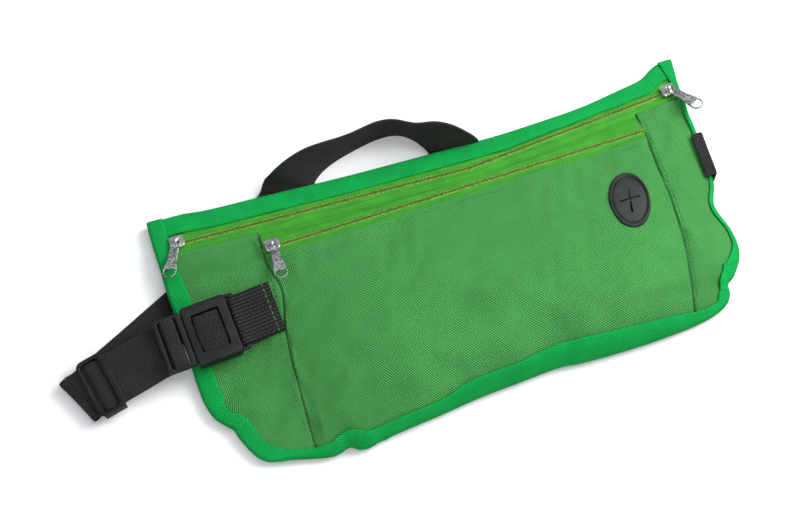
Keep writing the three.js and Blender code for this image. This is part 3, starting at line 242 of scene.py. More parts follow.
def on_front(x, y, lift=0.0):
    """Points at a lift above the front cloth's middle, along its normal."""
    x, y = np.broadcast_arrays(np.asarray(x, float), np.asarray(y, float))
    return np.stack([x, y, front_z(x, y)], -1) + front_normal(x, y) * np.asarray(lift)[..., None]


def ripple(x, y, wave, seed):
    """A smooth seeded unevenness between about -1 and 1, with bumps about one wave apart."""
    rng = np.random.default_rng(seed)
    out = 0
    for _ in range(7):
        angle, phase, stretch = rng.uniform(0, 2 * math.pi), rng.uniform(0, 2 * math.pi), rng.uniform(0.6, 1.6)
        k = 2 * math.pi / (wave * stretch)
        out = out + np.sin(k * (x * math.cos(angle) + y * math.sin(angle)) + phase)
    return out / 3.5


# Meshes


def place_mesh(name, points, faces, uvs=None, smooth=True, sharp=None):
    """A mesh object at the origin from points in the bag's millimetres; uvs are millimetres too."""
    mesh = bpy.data.meshes.new(name)
    co = (np.asarray(points, float).reshape(-1, 3) + SHIFT) / 1000
    mesh.from_pydata(co.tolist(), [], [list(map(int, f)) for f in faces])
    if uvs is not None:
        flat = np.asarray(uvs, float).reshape(-1, 2)
        layer = mesh.uv_layers.new(name="cloth")
        index = np.zeros(len(mesh.loops), int)
        mesh.loops.foreach_get("vertex_index", index)
        layer.data.foreach_set("uv", flat[index].ravel())
    if smooth:
        mesh.polygons.foreach_set("use_smooth", [True] * len(mesh.polygons))
    mesh.validate()
    obj = bpy.data.objects.new(name, mesh)
    bpy.context.scene.collection.objects.link(obj)
    return obj


def grid_faces(stations, rows, start=0, flip=False):
    out = []
    for i in range(stations - 1):
        for k in range(rows - 1):
            a = start + i * rows + k
            face = (a, a + rows, a + rows + 1, a + 1)
            out.append(face[::-1] if flip else face)
    return out


def grid_uv(grid):
    """Distances along and across a grid of points, as its own flat millimetres."""
    grid = np.asarray(grid, float)
    along = np.linalg.norm(np.diff(grid, axis=0), axis=-1)
    across = np.linalg.norm(np.diff(grid, axis=1), axis=-1)
    u = np.concatenate([np.zeros((1, grid.shape[1])), np.cumsum(along, 0)])
    v = np.concatenate([np.zeros((grid.shape[0], 1)), np.cumsum(across, 1)], 1)
    middle = grid.shape[1] // 2
    return np.stack([np.repeat(u[:, middle : middle + 1], grid.shape[1], 1), v], -1)


def slab(name, upper, lower, uv=None, rounded=True):
    """A closed strip or sheet between an upper and a lower grid of points, with its rim."""
    upper, lower = np.asarray(upper, float), np.asarray(lower, float)
    n, m = upper.shape[:2]
    points = np.concatenate([upper.reshape(-1, 3), lower.reshape(-1, 3)])
    faces = grid_faces(n, m) + grid_faces(n, m, n * m, True)
    ring = [(i, 0) for i in range(n)] + [(n - 1, k) for k in range(1, m)]
    ring += [(i, m - 1) for i in range(n - 2, -1, -1)] + [(0, k) for k in range(m - 2, 0, -1)]
    for (i, k), (j, l) in zip(ring, ring[1:] + ring[:1]):
        a, b = i * m + k, j * m + l
        faces.append((a, a + n * m, b + n * m, b))
    flat = grid_uv(upper) if uv is None else uv
    obj = place_mesh(name, points, faces, np.concatenate([flat.reshape(-1, 2)] * 2))
    turn_outwards(obj)
    return obj


def turn_outwards(obj):
    """Faces of a closed mesh are turned out, by the sign of its volume."""
    bm = bmesh.new()
    bm.from_mesh(obj.data)
    bmesh.ops.recalc_face_normals(bm, faces=bm.faces)
    if bm.calc_volume(signed=True) < 0:
        bmesh.ops.reverse_faces(bm, faces=bm.faces)
    bm.to_mesh(obj.data)
    bm.free()


def bake(obj):
    """Leaves the object with the mesh that its modifiers make, and no modifiers."""
    bpy.context.view_layer.update()
    graph = bpy.context.evaluated_depsgraph_get()
    made = bpy.data.meshes.new_from_object(obj.evaluated_get(graph), preserve_all_data_layers=True, depsgraph=graph)
    obj.modifiers.clear()
    if obj.type == "MESH":
        old = obj.data
        obj.data = made
        bpy.data.meshes.remove(old)
        return obj
    new = bpy.data.objects.new(obj.name + "_made", made)
    bpy.context.scene.collection.objects.link(new)
    name = obj.name
    bpy.data.objects.remove(obj)
    new.name = name
    return new


def join(name, parts):
    """One object from several, each at the origin."""
    bm = bmesh.new()
    for part in parts:
        bm.from_mesh(part.data)
    mesh = bpy.data.meshes.new(name)
    bm.to_mesh(mesh)
    bm.free()
    for part in parts:
        bpy.data.objects.remove(part)
    obj = bpy.data.objects.new(name, mesh)
    bpy.context.scene.collection.objects.link(obj)
    mesh.polygons.foreach_set("use_smooth", [True] * len(mesh.polygons))
    return obj


def edge_split_smooth(obj, degrees=35):
    """Smooth shading with hard edges kept where faces meet at more than an angle."""
    mesh = obj.data
    mesh.polygons.foreach_set("use_smooth", [True] * len(mesh.polygons))
    mesh.set_sharp_from_angle(angle=math.radians(degrees))


def flat_plate(name, outer, holes, low, high, bevel, matrix, segments=3):
    """A plate with rounded edges from 2-D outlines, in a frame given by a matrix in millimetres."""
    curve = bpy.data.curves.new(name, "CURVE")
    curve.dimensions = "2D"
    curve.fill_mode = "BOTH"
    for ring in [outer, *holes]:
        spline = curve.splines.new("POLY")
        spline.points.add(len(ring) - 1)
        for point, (x, y) in zip(spline.points, ring):
            point.co = (x, y, 0, 1)
        spline.use_cyclic_u = True
    curve.extrude = (high - low) / 2 - bevel
    curve.bevel_depth = bevel
    curve.bevel_resolution = segments
    curve.offset = -bevel
    obj = bpy.data.objects.new(name, curve)
    bpy.context.scene.collection.objects.link(obj)
    obj = bake(obj)
    settle = Matrix.Translation(Vector(SHIFT) / 1000) @ metres(matrix) @ Matrix.Translation((0, 0, (low + high) / 2000))
    obj.data.transform(settle @ Matrix.Scale(0.001, 4))
    bm = bmesh.new()
    bm.from_mesh(obj.data)
    bmesh.ops.remove_doubles(bm, verts=bm.verts, dist=1e-6)
    bmesh.ops.recalc_face_normals(bm, faces=bm.faces)
    if bm.calc_volume(signed=True) < 0:
        bmesh.ops.reverse_faces(bm, faces=bm.faces)
    bm.to_mesh(obj.data)
    bm.free()
    edge_split_smooth(obj)
    return obj


def metres(matrix):
    out = matrix.copy()
    out.translation = out.translation / 1000
    return out


def round_rectangle(x0, x1, y0, y1, radius, steps=6):
    ring = []
    for cx, cy, start in ((x1 - radius, y1 - radius, 0), (x0 + radius, y1 - radius, 90),
                          (x0 + radius, y0 + radius, 180), (x1 - radius, y0 + radius, 270)):
        for k in range(steps + 1):
            a = math.radians(start + 90 * k / steps)
            ring.append((cx + radius * math.cos(a), cy + radius * math.sin(a)))
    return ring


def oval(cx, cy, rx, ry, steps=48):
    angles = [2 * math.pi * k / steps for k in range(steps)]
    return [(cx + rx * math.cos(a), cy + ry * math.sin(a)) for a in angles]


def rounded(ring, radius, steps=4):
    """An outline with each corner turned into a small arc."""
    ring = np.array(ring, float)
    out = []
    for k, p in enumerate(ring):
        before, after = ring[k - 1] - p, ring[(k + 1) % len(ring)] - p
        room = min(np.linalg.norm(before), np.linalg.norm(after)) * 0.45
        a = p + before / np.linalg.norm(before) * min(radius, room)
        b = p + after / np.linalg.norm(after) * min(radius, room)
        for s in np.linspace(0, 1, steps):
            out.append(tuple((1 - s) ** 2 * a + 2 * s * (1 - s) * p + s**2 * b))
    return out


def smooth_path(points, count):
    return smooth_curve(points, np.linspace(0, 1, count))


def rod(name, path, radius, matrix=None, sides=10, closed=False, widen=1.0):
    """A round or flattened rod along a path of points, in a frame in millimetres."""
    curve = bpy.data.curves.new(name, "CURVE")
    curve.dimensions = "3D"
    spline = curve.splines.new("POLY")
    spline.points.add(len(path) - 1)
    for point, co in zip(spline.points, path):
        point.co = (*co, 1)
    spline.use_cyclic_u = closed
    curve.bevel_depth = radius
    curve.bevel_resolution = max(1, sides // 4)
    curve.use_fill_caps = True
    obj = bpy.data.objects.new(name, curve)
    bpy.context.scene.collection.objects.link(obj)
    obj = bake(obj)
    settle = Matrix.Translation(Vector(SHIFT) / 1000) @ (metres(matrix) if matrix else Matrix.Identity(4))
    obj.data.transform(settle @ Matrix.Scale(0.001, 4) @ Matrix.Scale(widen, 4, (0, 1, 0)))
    turn_outwards(obj)
    edge_split_smooth(obj, 50)
    return obj


# Materials


def linear(hex_colour):
    """A colour written as sRGB hex, in the linear values that shaders take."""
    parts = [int(hex_colour[i : i + 2], 16) / 255 for i in (1, 3, 5)]
    return tuple(c / 12.92 if c <= 0.04045 else ((c + 0.055) / 1.055) ** 2.4 for c in parts) + (1.0,)


def add_node(tree, kind, inputs=None, out=0, **settings):
    """Adds one node with its settings, its inputs set or linked, and gives one of its sockets."""
    made = tree.nodes.new(kind)
    for key, value in settings.items():
        setattr(made, key, value)
    for key, value in (inputs or {}).items():
        if isinstance(value, bpy.types.NodeSocket):
            tree.links.new(value, made.inputs[key])
        else:
            made.inputs[key].default_value = value
    return made.outputs[out] if len(made.outputs) else made


def start_material(name):
    material = bpy.data.materials.new(name)
    material.use_nodes = True
    material.node_tree.nodes.clear()
    return material, material.node_tree


def finish_material(material, **inputs):
    """Closes a material with its shader; the inputs' names have underscores for spaces."""
    tree = material.node_tree
    shader = add_node(tree, "ShaderNodeBsdfPrincipled", {key.replace("_", " "): value for key, value in inputs.items()})
    add_node(tree, "ShaderNodeOutputMaterial", {"Surface": shader})
    return material


def cloth_material(name, look, settings):
    """Cloth drawn from two crossing sets of threads along its own millimetres."""
    # The dark colour gives darker random patches and the painted shade in the hollows; the light colour is the painted
    # highlight on the crowns
    base, dark, light = look
    material, tree = start_material(name)
    uv = add_node(tree, "ShaderNodeUVMap", uv_map="cloth")
    u = add_node(tree, "ShaderNodeSeparateXYZ", {0: uv})
    v = u.node.outputs[1]
    # Threads never run dead straight, so both sets wander a little
    drift = add_node(tree, "ShaderNodeTexNoise", {"Vector": uv, "Scale": 1 / 9, "Detail": 2.0})
    drift = add_node(tree, "ShaderNodeMath", {0: drift, 1: settings["drift"], 2: -settings["drift"] / 2},
                     operation="MULTIPLY_ADD")
    waves = []
    u = add_node(tree, "ShaderNodeMath", {0: v, 1: settings.get("slant", 0.0), 2: u}, operation="MULTIPLY_ADD")
    for axis, pitch in ((u, settings["warp"]), (v, settings["weft"])):
        moved = add_node(tree, "ShaderNodeMath", {0: axis, 1: drift}, operation="ADD")
        turned = add_node(tree, "ShaderNodeMath", {0: moved, 1: 2 * math.pi / pitch}, operation="MULTIPLY")
        waves.append(add_node(tree, "ShaderNodeMath", {0: turned}, operation="SINE"))
    weave = add_node(tree, "ShaderNodeMath", {0: waves[0], 1: waves[1]}, operation="MULTIPLY")
    ribs = waves[settings.get("ribs", 0)]
    # Slubs and worn threads make the painted highlight on the crowns stronger or weaker from thread to thread
    slub = add_node(tree, "ShaderNodeTexNoise", {"Vector": uv, "Scale": 1 / 1.0, "Detail": 4.0, "Roughness": 0.7})
    cloud = add_node(tree, "ShaderNodeTexNoise", {"Vector": uv, "Scale": 1 / settings["cloud"], "Detail": 3.0})
    share = add_node(tree, "ShaderNodeMapRange", {0: cloud, 1: 0.36, 2: 0.64, 3: settings["even"]})
    tone = add_node(tree, "ShaderNodeMix", {0: share, 6: dark, 7: base}, out=2, data_type="RGBA")
    # Painted highlight: the weave's crowns are mixed towards the light colour, as far as rare, least and fleck allow
    crown_highlight = add_node(tree, "ShaderNodeMapRange", {0: weave, 1: 0.1, 2: 0.95})
    crown_highlight_amount = add_node(tree, "ShaderNodeMapRange", {0: slub, 1: settings["rare"], 2: 0.66, 3: settings["least"], 4: settings["fleck"]})
    crown_highlight = add_node(tree, "ShaderNodeMath", {0: crown_highlight, 1: crown_highlight_amount}, operation="MULTIPLY")
    tone = add_node(tree, "ShaderNodeMix", {0: crown_highlight, 6: tone, 7: light}, out=2, data_type="RGBA")
    # Painted shade: the hollows of the weave, or of the ribs, are mixed towards the dark colour, as far as deep allows
    hollow_shade = add_node(tree, "ShaderNodeMapRange", {0: ribs if "ribs" in settings else weave, 1: -0.1, 2: -0.9, 4: settings["deep"]})
    tone = add_node(tree, "ShaderNodeMix", {0: hollow_shade, 6: tone, 7: dark}, out=2, data_type="RGBA")
    height = add_node(tree, "ShaderNodeMath", {0: slub, 1: 0.8, 2: ribs if "ribs" in settings else weave},
                      operation="MULTIPLY_ADD")
    bump = add_node(tree, "ShaderNodeBump", {"Height": height, "Distance": settings["relief"] / 1000, "Strength": 0.6})
    return finish_material(material, Base_Color=tone, Normal=bump, Roughness=settings["roughness"],
                           Specular_IOR_Level=settings["gloss"])


def solid_material(name, look, settings):
    """Moulded or plated parts: an even skin with a fine grain, read from the object's own place."""
    base, dark = look
    material, tree = start_material(name)
    place = add_node(tree, "ShaderNodeTexCoord", out="Object")
    grain = add_node(tree, "ShaderNodeTexNoise",
                     {"Vector": place, "Scale": 1000 / settings["grit"], "Detail": 3.0, "Roughness": 0.6})
    cloud = add_node(tree, "ShaderNodeTexNoise", {"Vector": place, "Scale": 1000 / settings["cloud"], "Detail": 2.0})
    share = add_node(tree, "ShaderNodeMapRange", {0: cloud, 1: 0.35, 2: 0.62})
    tone = add_node(tree, "ShaderNodeMix", {0: share, 6: dark, 7: base}, out=2, data_type="RGBA")
    rough = settings["roughness"]
    rough = add_node(tree, "ShaderNodeMapRange", {0: grain, 1: 0.3, 2: 0.7, 3: rough + 0.08, 4: rough - 0.06})
    bump = add_node(tree, "ShaderNodeBump",
                    {"Height": grain, "Distance": 0.0002, "Strength": settings["strength"]})
    return finish_material(material, Base_Color=tone, Normal=bump, Roughness=rough, **settings.get("shader", {}))


MATERIALS = {}


def make_materials():
    look = bpy.context.scene.pouch_colours
    # 600 denier polyester: matt green, with a painted highlight on its threads' crowns and painted shade in its
    #                       hollows.
    # Its real threads lie 0.5 mm apart, too fine to show, so they are drawn 1.15 mm apart
    MATERIALS["panel"] = cloth_material("600D polyester", (look.panel, look.panel_patches_and_shade, look.panel_crown_highlight), {
        "warp": 1.2, "weft": 1.2, "drift": 1.4, "cloud": 26, "even": 0.75, "rare": 0.3, "least": 0.45, "fleck": 1.0,
        "deep": 0.75, "relief": 0.9, "roughness": 0.82, "gloss": 0.2})
    # Grosgrain: brighter and glossier, with fine painted highlight dots both ways where its threads cross and painted
    # shade between them
    MATERIALS["binding"] = cloth_material("Grosgrain binding", (look.binding, look.binding_patches_and_shade, look.binding_crown_highlight), {
        "warp": 1.1, "weft": 1.3, "drift": 0.5, "cloud": 12, "even": 0.65, "rare": 0.35, "least": 0.25, "fleck": 1.0,
        "deep": 0.6, "relief": 0.4, "roughness": 0.8, "gloss": 0.06})
    # Zip tape: a finer, yellower weave, with painted highlights on its threads and painted shade between them
    MATERIALS["tape"] = cloth_material("Woven zip tape", (look.tape, look.tape_patches_and_shade, look.tape_crown_highlight), {
        "warp": 0.95, "weft": 1.1, "drift": 0.5, "cloud": 9, "even": 0.5, "rare": 0.4, "least": 0.1, "fleck": 0.6, "deep": 0.3,
        "relief": 0.25, "roughness": 0.75, "gloss": 0.2})
    # Polypropylene webbing: near black, fine ribs along the belt, picks with a painted glint and painted shade between
    # the ribs
    MATERIALS["belt"] = cloth_material("Polypropylene webbing", (look.belt, look.belt_patches_and_shade, look.belt_crown_highlight), {
        "warp": 1.5, "weft": 1.3, "drift": 0.35, "cloud": 12, "even": 0.4, "rare": 0.4, "least": 0.1, "fleck": 0.75, "deep": 0.6, "ribs": 1,
        "relief": 0.5, "roughness": 0.62, "gloss": 0.2})
    # The tab's webbing is a bolder weave, with the same painted glints and painted shade
    MATERIALS["tab"] = cloth_material("Bold webbing", (look.belt, look.belt_patches_and_shade, look.belt_crown_highlight), {
        "warp": 2.2, "weft": 1.75, "drift": 0.3, "cloud": 12, "even": 0.3, "rare": 0.3, "least": 0.1, "fleck": 0.6,
        "deep": 0.95, "slant": 0.62, "ribs": 1,
        "relief": 0.7, "roughness": 0.6, "gloss": 0.2})
    # Nylon coil and sewing thread: slightly glossy, uneven with their twist
    MATERIALS["coil"] = solid_material("Nylon coil", (look.coil, look.coil_dark), {
        "grit": 0.5, "cloud": 0.9, "roughness": 0.45, "strength": 0.1})
    MATERIALS["green_thread"] = solid_material("Green sewing thread", (look.thread, look.thread_dark), {
        "grit": 0.5, "cloud": 0.6, "roughness": 0.55, "strength": 0.1})
    # Dark seam thread: real stitches in the upright seams, coloured dark as painted shade of the seams' grooves
    MATERIALS["groove_shade_thread"] = solid_material("Dark sewing thread", (look.seam, look.seam_dark), {
        "grit": 0.5, "cloud": 0.6, "roughness": 0.55, "strength": 0.1})
    # Acetal: satin black with a fine spark-eroded grain
    MATERIALS["acetal"] = solid_material("Acetal buckle moulding", (look.buckle, look.buckle_dark), {
        "grit": 0.35, "cloud": 12, "roughness": 0.5, "strength": 0.12, "shader": {"Specular_IOR_Level": 0.2}})
    # Port rubber: dull dark grey, with a slight green cast painted in as a reflection of the cloth round it
    MATERIALS["rubber"] = solid_material("Moulded port rubber", (look.rubber, look.rubber_dark), {
        "grit": 0.6, "cloud": 5, "roughness": 0.6, "strength": 0.3, "shader": {"Specular_IOR_Level": 0.25}})
    # Nickel plate: bright and warm on the sliders, pebbled and duller on the pulls
    MATERIALS["nickel"] = solid_material("Nickel plate", (look.nickel, look.nickel_dark), {
        "grit": 2.5, "cloud": 3, "roughness": 0.28, "strength": 0.1, "shader": {"Metallic": 1.0}})
    MATERIALS["pebbled"] = solid_material("Pebbled nickel plate", (look.pull, look.pull_dark), {
        "grit": 0.7, "cloud": 1.1, "roughness": 0.45, "strength": 0.9, "shader": {"Metallic": 1.0}})


def finish_piece(obj, material, slot, body, *nodes):
    """Gives a finished object its material, its nodes and its body."""
    obj.data.materials.clear()
    obj.data.materials.append(MATERIALS[material])
    if nodes:
        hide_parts(*nodes)
    if body:
        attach(obj, body)
    return obj


# Repeats


def repeat_along(name, paths, shape, pitch, material_name):
    """Copies of a shape (its length along Z, in metres) along paths in the bag's millimetres."""
    points, edges = [], []
    for path in paths:
        start = len(points)
        points += [tuple((np.asarray(p) + SHIFT) / 1000) for p in path]
        edges += [(k, k + 1) for k in range(start, len(points) - 1)]
    mesh = bpy.data.meshes.new(name)
    mesh.from_pydata(points, edges, [])
    obj = bpy.data.objects.new(name, mesh)
    bpy.context.scene.collection.objects.link(obj)
    tree = bpy.data.node_groups.new(name + " repeat", "GeometryNodeTree")
    for label, way, kind in (("Path", "INPUT", "NodeSocketGeometry"), ("Pitch", "INPUT", "NodeSocketFloat"),
                             ("Piece", "INPUT", "NodeSocketObject"), ("Geometry", "OUTPUT", "NodeSocketGeometry")):
        tree.interface.new_socket(label, in_out=way, socket_type=kind)
    start = add_node(tree, "NodeGroupInput", out="Path")
    piece = add_node(tree, "GeometryNodeObjectInfo", {"Object": start.node.outputs["Piece"]}, out="Geometry")
    curve = add_node(tree, "GeometryNodeMeshToCurve", {"Mesh": start})
    spots = add_node(tree, "GeometryNodeCurveToPoints", {"Curve": curve, "Length": start.node.outputs["Pitch"]},
                     out="Points", mode="LENGTH")
    copies = add_node(tree, "GeometryNodeInstanceOnPoints", {
        "Points": spots, "Instance": piece, "Rotation": spots.node.outputs["Rotation"]})
    solid = add_node(tree, "GeometryNodeRealizeInstances", {0: copies})
    painted = add_node(tree, "GeometryNodeSetMaterial", {"Geometry": solid, "Material": MATERIALS[material_name]})
    add_node(tree, "NodeGroupOutput", {0: painted})
    modifier = obj.modifiers.new("Repeat", "NODES")
    modifier.node_group = tree
    values = {"Pitch": pitch / 1000, "Piece": shape}
    for item in tree.interface.items_tree:
        if item.name in values:
            modifier[item.identifier] = values[item.name]
    bake(obj)
    bpy.data.objects.remove(shape)
    return obj


def bead(length, width, height, turn=0):
    """One stitch or tooth: a small rounded solid with its length along Z."""
    bm = bmesh.new()
    bmesh.ops.create_uvsphere(bm, u_segments=6, v_segments=5, radius=0.5)
    bmesh.ops.scale(bm, vec=(width / 1000, height / 1000, length / 1000), verts=bm.verts)
    bmesh.ops.rotate(bm, verts=bm.verts, matrix=Matrix.Rotation(turn, 3, "Y"))
    mesh = bpy.data.meshes.new("bead")
    bm.to_mesh(mesh)
    bm.free()
    mesh.polygons.foreach_set("use_smooth", [True] * len(mesh.polygons))
    obj = bpy.data.objects.new("bead", mesh)
    bpy.context.scene.collection.objects.link(obj)
    return obj



# The bag's cloth

CLOAK = BINDING + GAP + PANEL
# The front cloths' folded hems lie this far over the zip tapes
HEM_LAP = 0.9


def inset_outline(t, distance):
    """Points on the bag's outline moved inwards."""
    p = smooth_curve(scaled(OUTLINE), t)
    q = smooth_curve(scaled(OUTLINE), np.clip(np.asarray(t) + 0.002, 0, 1))
    r = smooth_curve(scaled(OUTLINE), np.clip(np.asarray(t) - 0.002, 0, 1))
    d = (q - r) / np.linalg.norm(q - r, axis=1, keepdims=True)
    return p + np.stack([-d[:, 1], d[:, 0]], 1) * distance


def patch(top, bottom, left, right, u, v):
    """Plan places inside four sides, given as arrays of points that share their corners."""
    u, v = u[:, None, None], v[None, :, None]
    across = top[:, None] * (1 - v) + bottom[:, None] * v
    down = left[None, :] * (1 - u) + right[None, :] * u
    corner = (top[0] * (1 - u) * (1 - v) + top[-1] * u * (1 - v)
              + bottom[0] * (1 - u) * v + bottom[-1] * u * v)
    return across + down - corner


def closer_ends(count, start, end):
    """Places from 0 to 1, closer together at the start and the end by these amounts."""
    t = np.linspace(0, 1, count)
    return t - (start * (1 - t) ** 2 - end * t**2) * t * (1 - t)


def seam_line(seam, hem, count, offset):
    ys = seam[:, 1]
    hem_ys = hem(seam[:, 0])
    start = np.argmax(ys <= hem_ys)
    floor = bottom_edge(seam[:, 0]) + CLOAK
    end = len(seam) - 1 - np.argmax((ys >= floor)[::-1])
    length = start + (end - start) * closer_ends(count, 0.8, 0)
    index = np.arange(len(seam))
    return np.stack([np.interp(length, index, seam[:, 0]) + offset, np.interp(length, index, ys)], 1)


def outline_near(x, inset=CLOAK):
    t = np.interp(x, _low[:, 0], FINE[(FINE >= LEFT_CORNER) & (FINE <= RIGHT_CORNER)])
    return t


def end_hem(x):
    return chain_y(x) - HEM + HEM_LAP


def pocket_hem(x):
    return pocket_chain_y(x) - POCKET_HEM + HEM_LAP


def pin_corners(top, bottom, left, right, u, v):
    left[0], right[0] = top[0], top[-1]
    left[-1], right[-1] = bottom[0], bottom[-1]
    return patch(top, bottom, left, right, u, v)


def pocket_plan(columns, rows, hem, offset=GAP / 2):
    u, v = closer_ends(columns, 0.8, 0.8), closer_ends(rows, 0.8, 0)
    left = seam_line(LEFT_SEAM_FINE, hem, rows, offset)
    right = seam_line(RIGHT_SEAM_FINE, hem, rows, -offset)
    ends = outline_near(np.array([left[-1, 0], right[-1, 0]]))
    bottom = inset_outline(ends[0] + (ends[1] - ends[0]) * u, CLOAK)
    bottom[0], bottom[-1] = left[-1], right[-1]
    x = left[0, 0] + (right[0, 0] - left[0, 0]) * u
    return pin_corners(np.stack([x, hem(x)], 1), bottom, left, right, u, v)


def end_plan(side, columns, rows):
    u, v = closer_ends(columns, 0, 0.8), closer_ends(rows, 0.8, 0)
    seam = LEFT_SEAM_FINE if side < 0 else RIGHT_SEAM_FINE
    inner = seam_line(seam, end_hem, rows, side * GAP / 2)
    foot = outline_near(np.array([inner[-1, 0]]))[0]
    edge = OUTLINE_FINE[FINE <= LEFT_CORNER] if side < 0 else OUTLINE_FINE[FINE >= RIGHT_CORNER]
    place = FINE[FINE <= LEFT_CORNER] if side < 0 else FINE[FINE >= RIGHT_CORNER]
    wanted = end_hem(float(edge[len(edge) // 2, 0]) - side * 2 * CLOAK)
    start = place[np.argmin(np.abs(edge[:, 1] - wanted))]
    corner = LEFT_CORNER if side < 0 else RIGHT_CORNER
    outer = inset_outline(start + (corner - start) * v, CLOAK)
    low = inset_outline(corner + (foot - corner) * u, CLOAK)
    low[-1] = inner[-1]
    x = outer[0, 0] + (inner[0, 0] - outer[0, 0]) * u
    top = np.stack([x, end_hem(x)], 1)
    top[0] = outer[0]
    if side < 0:
        return pin_corners(top, low, outer, inner, u, v)
    u = 1 - u[::-1]
    return pin_corners(top[::-1], low[::-1], inner, outer, u, v)


def seam_dip(x, y):
    """How far the cloth is drawn down beside the upright seams."""
    down = 0
    below = np.clip((pocket_hem(x) + 10 - y) / 12, 0, 1)
    for seam, deep in ((LEFT_SEAM_FINE, 1.3), (RIGHT_SEAM_FINE, 2.2)):
        d = np.abs(x - seam_x(seam, y))
        down = down + (deep * np.exp(-((d / 0.7) ** 2)) + 0.5 * np.exp(-((d / 3) ** 2)) + 0.4 * np.exp(-((d / 8) ** 2))) * below
    return down


def hem_rise(d):
    """A folded hem's height over the cloth, by the distance from its edge."""
    fall = np.clip((d - 1.3) / 2.4, 0, 1)
    return 0.78 * (1 - fall * fall * (3 - 2 * fall)) - 0.12 * np.exp(-(((d - 3.4) / 0.5) ** 2))


def crease(x, y, ends, width, height):
    """A soft fold along a line between two places, up for a positive height."""
    a, b = np.array(ends[0], float), np.array(ends[1], float)
    line = b - a
    length = np.linalg.norm(line)
    line = line / length
    rx, ry = x - a[0], y - a[1]
    along = rx * line[0] + ry * line[1]
    across = np.abs(-rx * line[1] + ry * line[0])
    fade = np.clip(along / length, 0, 1) * np.clip((length - along) / length, 0, 1) * 4
    fade = np.where((along > 0) & (along < length), fade, 0)
    return height * np.exp(-((across / width) ** 2)) * fade


# Folds seen in the cloth, as ends, half width and height
POCKET_FOLDS = [
    (((-86, -62), (-62, -34)), 4.0, 0.9), (((-74, -66), (-40, -52)), 3.5, -0.8),
    (((-40, -66), (-30, -40)), 5.0, 0.8), (((-8, -64), (-20, -46)), 4.0, -0.8),
    (((8, -60), (22, -44)), 5.0, 0.7), (((30, -60), (44, -48)), 4.0, -0.7),
    (((56, -60), (48, -38)), 5.0, 0.6), (((82, -58), (98, -30)), 5.0, 0.7),
    (((99, -52), (90, -20)), 4.0, -0.6),
]
END_FOLDS = [
    (((-128, 18), (-108, -10)), 6.0, 0.8), (((-124, -30), (-100, -44)), 5.0, 0.9),
    (((-118, -58), (-96, -40)), 4.5, -0.9), (((-104, -64), (-90, -36)), 4.5, 0.9),
    (((108, -52), (126, -34)), 4.5, 0.9), (((126, -12), (108, -2)), 4.5, -0.8),
    (((128, 12), (108, 26)), 5.0, 0.8), (((118, 44), (108, 20)), 5.0, -0.6),
]


def cloth_z(x, y):
    """The finished front: the plain front, its seams and folds, and a little unevenness."""
    z = front_z(x, y) - seam_dip(x, y)
    for folds in (POCKET_FOLDS, END_FOLDS):
        for ends, width, height in folds:
            z = z + crease(x, y, ends, width, height)
    full = np.clip((front_z(x, y) - 8) / 10, 0, 1)
    return z + full * (0.35 * ripple(x, y, 34, 5) + 0.12 * ripple(x, y, 11, 8))


def edge_distance(grid):
    """How far the points of a grid lie from the bag's outline, in plan."""
    flat = grid[..., :2].reshape(-1, 1, 2)
    ring = OUTLINE_FINE[::6][None]
    near = [np.min(np.linalg.norm(flat[k : k + 500] - ring, axis=2), axis=1) for k in range(0, len(flat), 500)]
    return np.concatenate(near).reshape(grid.shape[:2])


def slack(grid, stiffness):
    """How far the cloth moves as it settles: a pinned sheet, a little too large, blown up to wrinkle."""
    n, m = grid.shape[:2]
    obj = place_mesh("settling", grid, grid_faces(n, m))
    group = obj.vertex_groups.new(name="pinned")
    edge = [i * m + k for i in range(n) for k in range(m) if i in (0, n - 1) or k in (0, m - 1)]
    group.add(edge, 1.0, "REPLACE")
    cloth = obj.modifiers.new("Cloth", "CLOTH")
    s = cloth.settings
    s.quality = 6
    s.mass = 0.15
    s.tension_stiffness = s.compression_stiffness = 25
    s.shear_stiffness = 8
    s.bending_stiffness = stiffness
    s.vertex_group_mass = "pinned"
    s.shrink_min = -0.018
    s.uniform_pressure_force = 1.2
    s.use_pressure = True
    s.effector_weights.gravity = 0
    cloth.collision_settings.use_collision = False
    cloth.collision_settings.use_self_collision = False
    cloth.point_cache.frame_start, cloth.point_cache.frame_end = 1, 18
    scene = bpy.context.scene
    for f in range(1, 19):
        scene.frame_set(f)
    bake(obj)
    co = np.zeros(n * m * 3)
    obj.data.vertices.foreach_get("co", co)
    moved = (co.reshape(-1, 3) * 1000 - SHIFT).reshape(grid.shape)
    bpy.data.objects.remove(obj)
    scene.frame_set(1)
    push = moved - grid
    size = np.linalg.norm(push, axis=-1, keepdims=True)
    push = push * np.minimum(0.7, 1.1 / np.maximum(size, 1e-6))
    return push * np.clip((edge_distance(grid) - 5) / 8, 0, 1)[..., None]


def refine(values, u, v):
    """Values on an even grid, read at other places of its two sides from 0 to 1."""
    n, m = values.shape[:2]
    rows = np.stack([[np.interp(v, np.linspace(0, 1, m), line[:, c]) for c in range(3)] for line in values])
    spread = np.stack([[np.interp(u, np.linspace(0, 1, n), rows[:, c, k]) for k in range(len(v))] for c in range(3)])
    return spread.transpose(2, 1, 0)


